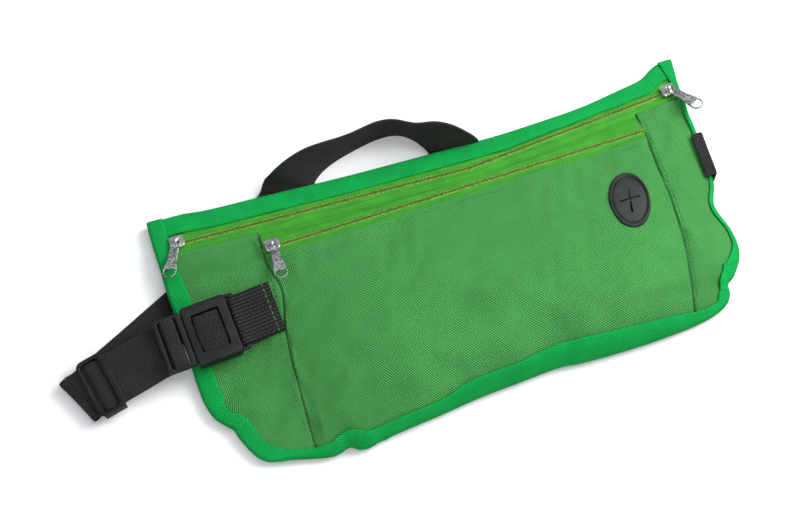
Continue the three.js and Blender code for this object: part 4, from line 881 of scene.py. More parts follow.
def cloth_panel(name, make_plan, size, rough_size, hem, node, holes=None):
    """One front panel: its plan raised to the front, settled, refined and given its thickness."""
    plan = make_plan(*size)
    x, y = plan[..., 0], plan[..., 1]
    grid = np.concatenate([plan, (cloth_z(x, y) + hem_rise(hem(x) - y))[..., None]], -1)
    rough = make_plan(*rough_size)
    rough = np.concatenate([rough, cloth_z(rough[..., 0], rough[..., 1])[..., None]], -1)
    grid = grid + refine(slack(rough, 0.4), np.linspace(0, 1, size[0]), np.linspace(0, 1, size[1]))
    n, m = grid.shape[:2]
    obj = place_mesh(name, grid, grid_faces(n, m), grid_uv(grid))
    if obj.data.polygons[0].normal.z < 0:
        obj.data.flip_normals()
    finer = obj.modifiers.new("Finer", "SUBSURF")
    finer.levels = finer.render_levels = 1
    finer.boundary_smooth = "PRESERVE_CORNERS"
    if holes:
        holes(obj)
    thick = obj.modifiers.new("Thickness", "SOLIDIFY")
    thick.thickness = PANEL / 1000
    thick.offset = 0
    bake(obj)
    return finish_piece(obj, "panel", "panel_cloth", "root", node)


def cut_port(obj):
    """Takes the cloth away under the cable port."""
    bm = bmesh.new()
    bm.from_mesh(obj.data)
    gone = []
    for face in bm.faces:
        c = face.calc_center_median() * 1000 - Vector(SHIFT)
        dx, dy = c.x - PORT[0], c.y - PORT[1]
        wide = (dx * math.cos(PORT_TURN) + dy * math.sin(PORT_TURN)) / PORT_HALF[0]
        tall = (dy * math.cos(PORT_TURN) - dx * math.sin(PORT_TURN)) / PORT_HALF[1]
        if wide**2 + tall**2 < 0.77:
            gone.append(face)
    bmesh.ops.delete(bm, geom=gone, context="FACES")
    bm.to_mesh(obj.data)
    bm.free()


def make_panels():
    cloth_panel("pocket_cloth", lambda n, m: pocket_plan(n, m, pocket_hem), (120, 72), (80, 44), pocket_hem,
                "pocket_panel", cut_port)
    cloth_panel("left_end_cloth", lambda n, m: end_plan(-1, n, m), (34, 72), (24, 46), end_hem, "left_end_panel")
    cloth_panel("right_end_cloth", lambda n, m: end_plan(1, n, m), (30, 72), (20, 46), end_hem, "right_end_panel")
    # The divider hangs from the pocket zip down to the back, inside the bag
    plan = pocket_plan(40, 30, lambda x: pocket_chain_y(x) + FLAT + 3 * GAP, offset=GAP)
    v = np.linspace(0, 1, 30)[None, :]
    u = np.linspace(0, 1, 40)[:, None]
    start = front_z(plan[:, :1, 0], plan[:, :1, 1]) - 2.25
    ease = v * v * (3 - 2 * v)
    level = start + (3.75 - start) * ease + 5 * np.sin(np.pi * v) * np.sin(np.pi * u)
    level = level + 0.3 * ripple(plan[..., 0], plan[..., 1], 30, 11) * np.sin(np.pi * v) * np.sin(np.pi * u)
    grid = np.concatenate([plan, level[..., None]], -1)
    lift = np.array([0, 0, 0.25])
    divider = slab("divider_cloth", grid + lift, grid - lift)
    finish_piece(divider, "panel", "panel_cloth", "root", "divider_panel")
    # The back lies nearly flat on the belt, a little quilted by it
    count, rows = 120, 50
    s = np.linspace(0, 1, count)
    xs = -134 + CLOAK + s * (268 - 2 * CLOAK)
    top = top_edge(xs) - CLOAK
    low_x = np.clip(xs, -121, 126)
    low = bottom_edge(low_x) + CLOAK
    v = np.linspace(0, 1, rows)[None, :]
    y = top[:, None] * (1 - v) + low[:, None] * v
    inner_left, inner_right = left_edge(y) + CLOAK, right_edge(y) - CLOAK
    x = inner_left + (inner_right - inner_left) * s[:, None]
    edge = np.minimum(s[:, None], 1 - s[:, None]) * 2
    z = 2.75 + 0.12 * ripple(x, y, 40, 21) * np.clip(edge * 6, 0, 1)
    back = slab("back_cloth", np.stack([x, y, z + 0.35], -1), np.stack([x, y, z - 0.35], -1))
    finish_piece(back, "panel", "panel_cloth", "root", "back_panel")



# Binding


def binding_grids(edge, inward, width, seed, tangent):
    """Outer and inner faces of a strip folded over the bag's edge, one row per station."""
    n = len(edge)
    shares = np.array([1, 0.86, 0.72, 0.58, 0.45, 0.32, 0.2, 0.1])
    clear = PANEL / 2 + 0.22
    run = np.concatenate([[0], np.cumsum(np.linalg.norm(np.diff(edge, axis=0), axis=1))])
    wave = 0.25 * ripple(run, run * 0, 16, seed)
    outer, inner = [], []
    for share in shares:
        d = np.maximum(share * width, BINDING * 2 * (share / 0.1 if share < 0.2 else 1) * 0.6)
        p = edge + inward * d[:, None]
        near = np.max([cloth_z(p[:, 0] + k * tangent[:, 0], p[:, 1] + k * tangent[:, 1]) for k in (-1.5, 0, 1.5)], 0)
        steep = np.maximum(0.6, front_normal(p[:, 0], p[:, 1])[:, 2])
        puff = 0.35 * np.sin(np.pi * np.clip(share, 0, 1)) + wave * share * 0.4
        lift = (clear + puff) / steep
        inner.append(np.stack([p[:, 0], p[:, 1], near + lift], -1))
        outer.append(np.stack([p[:, 0], p[:, 1], near + lift + BINDING / steep], -1))
    top = outer[-1][:, 2]
    for share, out in ((0.8, 0.1), (0.45, 0.0), (0.15, 0.1)):
        z = EDGE_BOTTOM + (top - EDGE_BOTTOM) * share
        p = edge + inward * out
        outer.append(np.stack([p[:, 0], p[:, 1], z], -1))
        q = edge + inward * (out + BINDING)
        z_in = EDGE_BOTTOM + BINDING + (np.minimum(inner[7][:, 2], top - BINDING) - EDGE_BOTTOM - BINDING) * share
        inner.append(np.stack([q[:, 0], q[:, 1], z_in], -1))
    for d in (0.6, 3.0, None):
        reach = np.full(n, d) if d else width
        p = edge + inward * reach[:, None]
        outer.append(np.stack([p[:, 0], p[:, 1], np.full(n, EDGE_BOTTOM)], -1))
        q = edge + inward * np.maximum(reach, BINDING)[:, None]
        inner.append(np.stack([q[:, 0], q[:, 1], np.full(n, EDGE_BOTTOM + BINDING * 0.85)], -1))
    return np.stack(outer, 1), np.stack(inner, 1)


def outline_frame(t):
    p = smooth_curve(scaled(OUTLINE), t)
    a = smooth_curve(scaled(OUTLINE), np.clip(t + 0.0015, 0, 1))
    b = smooth_curve(scaled(OUTLINE), np.clip(t - 0.0015, 0, 1))
    d = (a - b) / np.linalg.norm(a - b, axis=1, keepdims=True)
    return p, np.stack([-d[:, 1], d[:, 0]], 1), d


def leg_width(t):
    return smooth_table([(k, row[2]) for k, row in enumerate(OUTLINE)], np.asarray(t) * (len(OUTLINE) - 1))


def make_bindings():
    t = np.linspace(0, 1, 420)
    p, inward, tangent = outline_frame(t)
    inward[0], inward[-1] = (1, 0), (-1, 0)
    outer, inner = binding_grids(p, inward, leg_width(t), 31, tangent)
    # Each leg's end laps over the top strip
    run = np.concatenate([[0], np.cumsum(np.linalg.norm(np.diff(p, axis=0), axis=1))])
    from_end = np.minimum(run, run[-1] - run)
    lap = (BINDING + 0.12) * (1 - smooth_table([(0, 0), (8.5, 0), (11, 1), (99, 1)], np.minimum(from_end, 99)))
    outer[:, :9, 2] += lap[:, None]
    inner[:, :9, 2] += lap[:, None]
    edge = slab("edge_grosgrain", outer, inner)
    finish_piece(edge, "binding", "binding_cloth", "root", "edge_binding")
    x = np.linspace(TOP_FINE[0, 0] + 1.2, TOP_FINE[-1, 0] - 1.2, 170)
    p = np.stack([x, top_edge(x)], 1)
    inward = np.tile([0.0, -1.0], (len(x), 1))
    room = top_edge(x) - chain_y(x) - 2.6 + 0.5 * ripple(x, x * 0, 30, 61)
    outer, inner = binding_grids(p, inward, np.minimum(BINDING_WIDTH + 1, room), 37, np.tile([1.0, 0.0], (len(x), 1)))
    top = slab("top_grosgrain", outer, inner)
    finish_piece(top, "binding", "binding_cloth", "root", "top_binding")


# Zips


class Line:
    """A zip's chain line: its places in plan, its level and the tilt of its tapes."""

    def __init__(self, y, z, tilt):
        self.y, self.z, self.tilt = y, z, tilt

    def frame(self, x):
        """Along the chain, across it and away from the cloth, as a matrix in millimetres."""
        along = Vector((0.6, float(self.y(x + 0.3) - self.y(x - 0.3)), float(self.z(x + 0.3) - self.z(x - 0.3))))
        along.normalize()
        away = -along.cross(Vector((0, -math.cos(self.tilt), math.sin(self.tilt)))).normalized()
        if away.z < 0:
            away = -away
        across = away.cross(along)
        turn = Matrix((along, across, away)).transposed().to_4x4()
        return Matrix.Translation((x, float(self.y(x)), float(self.z(x)))) @ turn

    def at(self, x, side, far, lift):
        """Points beside the chain at a distance across and a lift away from the cloth."""
        c, s = math.cos(self.tilt), math.sin(self.tilt)
        return np.stack([x, self.y(x) + side * far * c + lift * s, self.z(x) - side * far * s + lift * c], -1)


UPPER = Line(chain_y, chain_z, TILT)
POCKET = Line(pocket_chain_y, pocket_chain_z, POCKET_TILT)
ZIP_LEFT, ZIP_RIGHT = float(left_edge(CHAIN_LEFT[1])), float(right_edge(CHAIN_RIGHT[1]))
POCKET_X = (float(seam_x(LEFT_SEAM_FINE, POCKET_LEFT[1])) + GAP,
            float(seam_x(RIGHT_SEAM_FINE, POCKET_RIGHT[1] - POCKET_HEM)) - 2 * GAP)


def tape_piece(name, line, span, side, reach, node, wave):
    """A zip tape, from beside the chain to its sewn edge, with a crease beside the coil."""
    share = np.linspace(0, 1, 230)
    shares = np.linspace(0, 1, 25)
    x = np.repeat((span[0] + (span[1] - span[0]) * share)[:, None], 25, 1)
    for _ in range(3):
        far = np.array([float(reach(value)) for value in x[:, 0]])
        d = TAPE * 1.1 + (far[:, None] - TAPE * 1.1) * shares
        y = line.y(x) + side * d
        if line is POCKET:
            left, right = (seam_x(seam, y) for seam in (LEFT_SEAM_FINE, RIGHT_SEAM_FINE))
            x = left + 0.15 + (right - left - 0.3) * share[:, None]
    z = front_z(x, y)
    crease_at = 2.5 + 0.35 * ripple(x, x * 0, 40, wave + 2)
    fold = 0.5 if side < 0 else 0.2
    dip = -fold * np.exp(-(((d - crease_at) / 0.3) ** 2)) + 0.25 * np.exp(-(((d - crease_at - 0.9) / 0.6) ** 2))
    held = np.clip(np.minimum(d - 3.2, far[:, None] - d) / 3, 0, 1)
    z = z + dip * np.clip((far[:, None] - d) / 2, 0, 1) + 0.35 * ripple(x, y * 2.5, 24, wave) * held
    upper, lower = (np.stack([x, y, z + lift], -1) for lift in (TAPE / 2, -TAPE / 2))
    obj = slab(name, upper, lower)
    return finish_piece(obj, "tape", "zip_tape", "root", node)


def coil_teeth(name, line, span, side, node):
    """A wound coil: one slanted tooth a turn on a thin core, the two coils half a pitch apart."""
    pitch = 1.3
    xs = np.linspace(*span, 160)
    xs = xs + (pitch / 2 if side > 0 else 0)
    path = line.at(xs, side, 0.6, 0.75)
    teeth = repeat_along(name + " teeth", [path], bead(0.66, 1.2, 1.2), pitch, "coil")
    d = np.array([[0.35, 0.8, 1.25]])
    core = slab(name + " core", line.at(xs[:, None] + [0, 0, 0], side, d, np.array([[0.42, 0.46, 0.42]])),
                line.at(xs[:, None] + [0, 0, 0], side, d, 0.3))
    obj = join(name, [teeth, core])
    return finish_piece(obj, "coil", "zip_coil", "root", node)


def make_zips():
    lean = CLOAK + GAP
    upper = (ZIP_LEFT + lean, ZIP_RIGHT - lean)

    def top_reach(x):
        return min(float(top_edge(x) - chain_y(x)) - CLOAK, BINDING_WIDTH + FLAT)

    tape_piece("upper_tape_top", UPPER, upper, 1, top_reach, "upper_zip_upper_tape", 41)
    tape_piece("upper_tape_low", UPPER, upper, -1, lambda x: HEM - 0.03, "upper_zip_lower_tape", 43)
    tape_piece("pocket_tape_top", POCKET, POCKET_X, 1,
               lambda x: float(chain_y(x) - HEM - pocket_chain_y(x)) - 0.03, "pocket_zip_upper_tape", 45)
    tape_piece("pocket_tape_low", POCKET, POCKET_X, -1, lambda x: POCKET_HEM - GAP / 2, "pocket_zip_lower_tape", 47)
    inset = BINDING_NARROW + 1.3
    for side, node in ((1, "upper_zip_upper_coil"), (-1, "upper_zip_lower_coil")):
        coil_teeth(node + "_teeth", UPPER, (ZIP_LEFT + inset, ZIP_RIGHT - inset), side, node)
    for side, node in ((1, "pocket_zip_upper_coil"), (-1, "pocket_zip_lower_coil")):
        coil_teeth(node + "_teeth", POCKET, POCKET_X, side, node)


# Sliders and pulls

SLIDER_TOP = TAPE / 2 + 2 * GAP + 1.3 + 0.8
PIVOT = SLIDER_TOP + GAP + 0.45


def slider_piece(name, line, x, lean):
    frame_here = line.frame(x)
    # The plates narrow to a nose at the end that faces the open chain
    plate = [(-3.75, -2.3), (-3.2, -2.9), (-1.2, -3.3), (2.2, -3.3), (3.2, -2.8), (3.75, -1.6),
             (3.75, 1.6), (3.2, 2.8), (2.2, 3.3), (-1.2, 3.3), (-3.2, 2.9), (-3.75, 2.3)]
    parts = [
        flat_plate(name + "_top", rounded(plate, 0.9), [], 2.15, 2.95, 0.3, frame_here),
        flat_plate(name + "_low", rounded(plate, 0.9), [], -1.35, -0.55, 0.3, frame_here),
        flat_plate(name + "_web", round_rectangle(-1.9, 1.9, -0.25, 0.25, 0.2), [], -0.8, 2.4, 0.05, frame_here),
    ]
    for side in (-1, 1):
        wing = round_rectangle(-3.0, 2.6, side * 2.95 - 0.3, side * 2.95 + 0.3, 0.25)
        parts.append(flat_plate(name + "_wing", wing, [], 1.75, 2.5, 0.15, frame_here))
    turned = frame_here @ Matrix.Rotation(math.radians(-90) + lean, 4, "Z")
    base = SLIDER_TOP
    arch = [(-1.5, base - 0.4), (-1.5, base + 0.9), (-1.25, base + 1.5), (-0.7, base + 1.85), (0, base + 1.95),
            (0.7, base + 1.85), (1.25, base + 1.5), (1.5, base + 0.9), (1.5, base - 0.4)]
    arch = [(x_, 0, z_) for x_, z_ in smooth_path(arch, 24)]
    bridge = rod(name + "_bridge", arch, 0.36, turned, widen=1.9)
    parts.append(bridge)
    obj = join(name + "_nickel", parts)
    edge_split_smooth(obj, 40)
    return obj, turned


def pull_piece(name, turned, lift):
    """A pebbled plate with a square eye over the bridge and a big round ring at its end."""
    place = turned @ Matrix.Translation((0, 0, PIVOT)) @ Matrix.Rotation(math.radians(-lift), 4, "Y")
    half = [(-0.45, 2.0), (0.2, 2.35), (4.3, 2.2), (8.0, 2.2), (12.0, 2.6), (14.2, 3.1)]
    ring_centre, ring = 17.2, 3.3
    arc = [(ring_centre + ring * math.cos(a), ring * math.sin(a))
           for a in np.radians(np.linspace(105, -105, 30))]
    outer = half + arc + [(x_, -y_) for x_, y_ in half[::-1]]
    eye = round_rectangle(0.45, 3.85, -1.7, 1.7, 0.5)
    hole = [(ring_centre + 2.65 * math.cos(a), 2.65 * math.sin(a)) for a in np.radians(np.linspace(118, -118, 30))]
    obj = flat_plate(name + "_plate", rounded(outer, 0.35), [eye, rounded(hole, 0.5)], -0.45, 0.45, 0.28, place)
    return obj


def make_sliders():
    for name, line, x, lean, lift in (("left", UPPER, 10 - HALF_LENGTH, -23, -4), ("right", UPPER, HALF_LENGTH - 9, 26, 5),
                                      ("pocket", POCKET, POCKET_LEFT[0] + 2, -2, -4)):
        body, turned = slider_piece(name + "_slider", line, x, math.radians(lean))
        finish_piece(body, "nickel", "slider_metal", name + "_slide", name + "_slider")
        pull = pull_piece(name + "_pull", turned, lift)
        finish_piece(pull, "pebbled", "slider_metal", name + "_tab", name + "_pull")


# Cable port


def make_port():
    """A rubber grommet: a flat flange, a raised oval lip and a face cut with a cross."""
    cx, cy = PORT
    base = PANEL / 2 + GAP * 0.4
    shares = np.array([0, 0.16, 0.34, 0.5, 0.62, 0.7, 0.75, 0.79, 0.83, 0.87, 0.91, 0.95, 0.985, 1.0])
    lifts = base + np.array([1.75, 1.75, 1.78, 1.8, 1.8, 1.78, 1.72, 1.6, 1.1, 1.6, 2.0, 1.9, 1.25, 0.35])
    around = 96
    angle = np.linspace(0, 2 * math.pi, around, endpoint=False)
    points, faces = [], []
    for share, lift in zip(shares[1:], lifts[1:]):
        wide, tall = PORT_HALF[0] * share * np.cos(angle), PORT_HALF[1] * share * np.sin(angle)
        x = cx + wide * math.cos(PORT_TURN) - tall * math.sin(PORT_TURN)
        y = cy + wide * math.sin(PORT_TURN) + tall * math.cos(PORT_TURN)
        points.append(np.stack([x, y, front_z(x, y) + lift], -1))
    rings = len(points)
    points = np.concatenate(points)
    low = points[-around:] - [0, 0, 0.3]
    points = np.concatenate([points, low, [[cx, cy, float(front_z(cx, cy)) + lifts[0]]],
                             [[cx, cy, float(front_z(cx, cy)) + base - 0.1]]])
    for r in range(rings):
        for a in range(around):
            b = (a + 1) % around
            faces.append((r * around + a, (r + 1) * around + a, (r + 1) * around + b, r * around + b))
    top, under = len(points) - 2, len(points) - 1
    for a in range(around):
        b = (a + 1) % around
        faces.append((top, a, b))
        faces.append((under, rings * around + b, rings * around + a))
    obj = place_mesh("port_rubber", points, faces)
    turn_outwards(obj)
    for turn, half in ((2, 5.0), (80, 7.3)):
        cutter = flat_plate("slit", round_rectangle(-half, half, -0.5, 0.5, 0.4), [], 0.3, 3.4, 0.01,
                            Matrix.Translation((cx, cy, float(front_z(cx, cy)) + base)) @ Matrix.Rotation(
                                math.radians(turn), 4, "Z"))
        cut = obj.modifiers.new("Slit", "BOOLEAN")
        cut.object, cut.operation, cut.solver = cutter, "DIFFERENCE", "EXACT"
        bake(obj)
        bpy.data.objects.remove(cutter)
    edge_split_smooth(obj, 45)
    finish_piece(obj, "rubber", "port_rubber", "root", "cable_port")


# Buckle

BUCKLE = Matrix.Translation((13.5 - HALF_LENGTH, 2.5, 15.6)) @ Matrix.Rotation(math.radians(4), 4, "Z")
FEMALE_LEFT, FEMALE_BAR = -10.8, 11.5
MALE_RIGHT, MALE_LEFT = -11.1, -25.3
BUTTON_TOP = 1.0


def soften(obj, width, degrees=40):
    """Rounds an object's hard edges, as a mould does."""
    bevel = obj.modifiers.new("Round", "BEVEL")
    bevel.width, bevel.segments, bevel.limit_method = width / 1000, 3, "ANGLE"
    bevel.angle_limit = math.radians(degrees)
    bevel.use_clamp_overlap = True
    bake(obj)
    edge_split_smooth(obj, degrees)
    return obj


def combine(obj, tools, operation):
    """Joins solids to an object, or cuts them from it."""
    for tool in tools:
        step = obj.modifiers.new("Combine", "BOOLEAN")
        step.object, step.operation, step.solver = tool, operation, "EXACT"
        bake(obj)
        bpy.data.objects.remove(tool)
    return obj


def buckle_box(x0, x1, y0, y1, z0, z1, name="tool"):
    return flat_plate(name, [(x0, y0), (x1, y0), (x1, y1), (x0, y1)], [], z0, z1, 0, BUCKLE)


def make_buckle():
    # The female half: a round-ended frame with a window, a channel and an end bar on two arms
    outline = [(-10.8, -14.2), (-9.6, -15), (10.3, -15), (11.5, -13.8),
               (11.5, 13.8), (10.3, 15), (-9.6, 15), (-10.8, 14.2)]
    left = [(-6.4 - 0.9 * math.cos(a) ** 2, 10.3 * math.sin(a)) for a in np.radians(np.linspace(72, -72, 15))]
    window = rounded(left + [(7.15, -10.0), (7.15, 10.0)], 0.8)
    female = flat_plate("female", rounded(outline, 1.4), [], -4.5, 2.5, 0.9, BUCKLE)
    top_cut = flat_plate("tool", window, [], -3.7, 4.5, 0, BUCKLE)
    channel = buckle_box(-13.0, 7.15, -12.4, 12.4, -3.7, 0.9)
    combine(female, [top_cut, channel], "DIFFERENCE")
    soften(female, 0.6, 50)
    slot = round_rectangle(9.0, 13.2, -13.2, 13.2, 0.5)
    ring = rounded([(8.0, -14.6), (14.9, -14.6), (15.9, -13.6), (15.9, 13.6), (14.9, 14.6), (8.0, 14.6)], 0.9)
    arms = flat_plate("arms", ring, [slot], -1.0, 1.0, 0.45, BUCKLE)
    female = join("female_acetal", [female, arms])
    edge_split_smooth(female, 40)
    finish_piece(female, "acetal", "buckle_nylon", "root", "buckle_female")
    # The male half: a ladder frame for the belt, its guide plate and two side prongs
    outer = rounded([(MALE_LEFT, -13.0), (MALE_LEFT + 0.8, -13.5), (MALE_RIGHT, -13.5),
                     (MALE_RIGHT, 13.5), (MALE_LEFT + 0.8, 13.5), (MALE_LEFT, 13.0)], 0.9)
    belt_slot = round_rectangle(-22.8, -13.9, -11.9, 11.9, 0.9)
    male = flat_plate("male_acetal", outer, [belt_slot], -1.6, 2.2, 0.7, BUCKLE)
    notch = buckle_box(-12.5, -9.0, -6.3, 6.3, -3.0, 0.6)
    combine(male, [notch], "DIFFERENCE")
    soften(male, 0.3, 55)
    bar = flat_plate("web bar", round_rectangle(-20.7, -16.0, -12.6, 12.6, 0.4), [], -0.6, 0.6, 0.45, BUCKLE)
    prongs = []
    for side in (-1, 1):
        root, tip = side * 11.3, side * 10.9
        ring = [(-12.0, root - 0.8), (2.8, tip - 0.8), (4.2, tip), (4.2, tip + 0.4), (2.0, tip + 0.8), (-12.0, root + 0.8)]
        prongs.append(flat_plate("prong", rounded(ring, 0.4), [], -0.9, 0.3, 0.25, BUCKLE))
    male = join("male_acetal", [male, bar, *prongs])
    edge_split_smooth(male, 40)
    finish_piece(male, "acetal", "buckle_nylon", "strap_end", "buckle_male")
    # The button: a plate on the springy tongue, covered in small dimples
    left = [(-5.8 - 0.9 * math.cos(a) ** 2, 9.8 * math.sin(a)) for a in np.radians(np.linspace(72, -72, 15))]
    face = rounded(left + [(6.6, -9.55), (6.6, 9.55)], 0.7)
    button = flat_plate("button_acetal", face, [], -0.3, BUTTON_TOP, 0.4, BUCKLE)
    tongue = flat_plate("tongue", round_rectangle(-12.2, 0.0, -6.0, 6.0, 0.4), [], -0.9, 0.3, 0.2, BUCKLE)
    dimples = dimple_balls()
    combine(button, [dimples], "DIFFERENCE")
    edge_split_smooth(button, 28)
    button = join("button_acetal", [button, tongue])
    edge_split_smooth(button, 28)
    finish_piece(button, "acetal", "buckle_nylon", "tongue", "release_button")


def dimple_balls():
    """Small balls in staggered rows just above the button's face, to be cut from it."""
    bm = bmesh.new()
    for row in range(7):
        for column in range(4):
            x = -3.4 + 2.6 * column + (1.3 if row % 2 else 0)
            y = -6.9 + 2.3 * row
            if abs(x) > 5.4:
                continue
            made = bmesh.ops.create_icosphere(bm, subdivisions=2, radius=0.55 / 1000)
            bmesh.ops.translate(bm, verts=made["verts"], vec=(x / 1000, y / 1000, (BUTTON_TOP + 0.08) / 1000))
    mesh = bpy.data.meshes.new("dimples")
    bm.to_mesh(mesh)
    bm.free()
    mesh.transform(Matrix.Translation(Vector(SHIFT) / 1000) @ metres(BUCKLE))
    obj = bpy.data.objects.new("dimples", mesh)
    bpy.context.scene.collection.objects.link(obj)
    return obj


# Belt

TURN, DROP = math.radians(12.5), math.radians(7.5)
STRAP_AWAY = np.array([-math.cos(TURN) * math.cos(DROP), -math.sin(TURN) * math.cos(DROP), -math.sin(DROP)])
STRAP_ACROSS = np.array([-math.sin(TURN), math.cos(TURN), 0.0])
STRAP_UP = np.cross(STRAP_ACROSS, STRAP_AWAY)
STRAP_LENGTH, LAYER = 42.0, WEB_THICK + GAP
# The fold at the far left runs square to the lower layer, not to the strap
FOLD_SLANT = math.tan(math.radians(14.5))


def in_buckle(x, y, z):
    return np.array(BUCKLE @ Vector((x, y, z)))


STRAP_START = in_buckle(MALE_LEFT, 0, -3.1)


def on_strap(s, lift):
    return STRAP_START + STRAP_AWAY * s + STRAP_UP * lift


def make_glide():
    """The adjuster: two bars over the belt, a bar under it, joined by side rails."""
    here = Matrix((-STRAP_AWAY, STRAP_ACROSS, STRAP_UP)).transposed().to_4x4()
    here.translation = Vector(on_strap(31.5, 0))
    frame_ring = round_rectangle(-7.25, 7.25, -14.75, 14.75, 3.6)
    inner = round_rectangle(-5.2, 3.9, -12.9, 12.9, 2.2)
    parts = [flat_plate("glide frame", frame_ring, [inner], 0.9, 2.5, 0.6, here)]
    for side in (-1, 1):
        rail = round_rectangle(-5.6, 5.6, side * 13.7 - 0.8, side * 13.7 + 0.8, 0.5)
        parts.append(flat_plate("rail", rail, [], -3.9, 1.9, 0.35, here))
    parts.append(flat_plate("bar", round_rectangle(-1.3, 1.3, -14.0, 14.0, 0.3), [], -3.9, -2.4, 0.4, here))
    obj = join("glide_acetal", parts)
    edge_split_smooth(obj, 40)
    finish_piece(obj, "acetal", "buckle_nylon", "glide", "tri_glide")


def resample(stations, count):
    """Smooth stations of centre, across and up from a few, by distance along them."""
    centre = np.array([s[0] for s in stations])
    run = np.concatenate([[0], np.cumsum(np.linalg.norm(np.diff(centre, axis=0), axis=1))])
    t = np.linspace(0, 1, count * 4)
    curve = smooth_curve(centre, t)
    index = np.interp(np.linspace(0, len(stations) - 1, count * 4), np.arange(len(stations)), run)
    even = np.linspace(0, run[-1], count)
    out = []
    for k in range(3):
        if k == 0:
            values = curve
        else:
            rows = np.array([s[k] for s in stations])
            values = np.stack([np.interp(index, run, rows[:, c]) for c in range(3)], 1)
        out.append(np.stack([np.interp(even, index, values[:, c]) for c in range(3)], 1))
    centre, across, up = out
    travel = np.gradient(centre, axis=0)
    travel /= np.linalg.norm(travel, axis=1, keepdims=True)
    across /= np.linalg.norm(across, axis=1, keepdims=True)
    normal = np.cross(across, travel)
    normal /= np.linalg.norm(normal, axis=1, keepdims=True)
    normal *= np.where(np.sum(normal * up, 1, keepdims=True) < 0, -1, 1)
    across = np.cross(travel, normal)
    across *= np.where(np.sum(across * out[1], 1, keepdims=True) < 0, -1, 1)
    return centre, across, normal


def belt_piece(name, stations, node, body, count, wave=0, cloth="belt", shear=None):
    """A length of webbing with rounded selvedges along its stations."""
    centre, across, up = resample(stations, count)
    low = centre[:, 2] - np.abs(across[:, 2]) * WEB / 2 - np.abs(up[:, 2]) * WEB_THICK / 2
    centre[:, 2] += np.maximum(0, 0.02 - low)
    run = np.concatenate([[0], np.cumsum(np.linalg.norm(np.diff(centre, axis=0), axis=1))])
    shares = np.array([-1, -0.985, -0.95, -0.8, -0.55, -0.3, 0, 0.3, 0.55, 0.8, 0.95, 0.985, 1])
    thick = WEB_THICK / 2 * np.array([0.25, 0.62, 0.95, 1.08, 1, 1, 1, 1, 1, 1.08, 0.95, 0.62, 0.25])
    # The webbing cups and wanders a little, as laid belts do
    rng = np.random.default_rng(wave + 3)
    phase = rng.uniform(0, 6.28, 3)
    bend = wave and 0.22 * np.sin(run / 14 + phase[0]) + 0.1 * np.sin(run / 6.1 + phase[1])
    side = centre[:, None] + across[:, None] * (shares * WEB / 2)[None, :, None]
    if shear:
        travel = np.cross(across, up)
        travel *= np.sign(np.sum(travel * np.gradient(centre, axis=0), 1, keepdims=True))
        side = side + (travel * shear(run)[:, None])[:, None] * (shares * WEB / 2)[None, :, None]
    cup = np.zeros((len(run), 13))
    if wave:
        ease = np.sin(np.pi * np.clip(run / run[-1], 0, 1))
        cup = cup + (bend * ease)[:, None] * shares[None]
    side = side + up[:, None] * cup[..., None]
    upper = side + up[:, None] * thick[None, :, None]
    lower = side - up[:, None] * thick[None, :, None]
    uv = np.stack([np.repeat(run[:, None], 13, 1), np.repeat((shares * WEB / 2)[None], len(run), 0)], -1)
    obj = slab(name, upper, lower, uv)
    edge_split_smooth(obj, 70)
    finish_piece(obj, cloth, "webbing", body, node)
    return obj


def profile(rows, place):
    """Stations from [x, z] rows in a frame, with their upward sides by the way they run."""
    centres = [np.array(place(x, 0, z)) for x, z in rows]
    out = []
    for k, (x, z) in enumerate(rows):
        across = np.array(place(x, 1, z)) - np.array(place(x, 0, z))
        travel = centres[min(k + 1, len(rows) - 1)] - centres[max(k - 1, 0)]
        up = np.cross(across, travel)
        out.append((centres[k], across, up / np.linalg.norm(up)))
    return out


TAB_START, TAB_END = 16.2, 33.0
TAB_LAP = WEB_THICK / 2 + GAP
TAB_OVER = 1.0 + TAB_LAP


def tab_rest(x):
    """The level of webbing that lies on the bag, in the buckle's frame."""
    p = in_buckle(x, 0, 0)
    return float(front_z(p[0], p[1])) - 15.6 + PANEL / 2 + 2 * GAP + WEB_THICK / 2


def tab_level(x, side):
    """The levels of the tab's upper and lower layers, which settle on the bag away from the bar."""
    s = min(max((x - TAB_START) / (TAB_END - TAB_START), 0), 1)
    ease, rest = s * s * (3 - 2 * s), tab_rest(TAB_END)
    low = max(-TAB_OVER + (rest + TAB_OVER) * ease, tab_rest(x))
    return low if side < 0 else max(TAB_OVER + (rest + LAYER - TAB_OVER) * ease, low + LAYER)


def make_tab():
    """The tab: webbing looped round the female half's bar, its two layers sewn to the bag."""
    lap, over = TAB_LAP, TAB_OVER
    xs = np.linspace(TAB_END, TAB_START, 7)
    rows = [(x, tab_level(x, 1)) for x in xs]
    rows += [(13.4, over), (13.2 - lap * 0.7, over * 0.7), (13.2 - lap, 0), (13.2 - lap * 0.7, -over * 0.7), (13.4, -over)]
    rows += [(x, tab_level(x, -1)) for x in xs[::-1]]
    belt_piece("tab_webbing", profile(rows, in_buckle), "buckle_tab", "root", 130, cloth="tab")


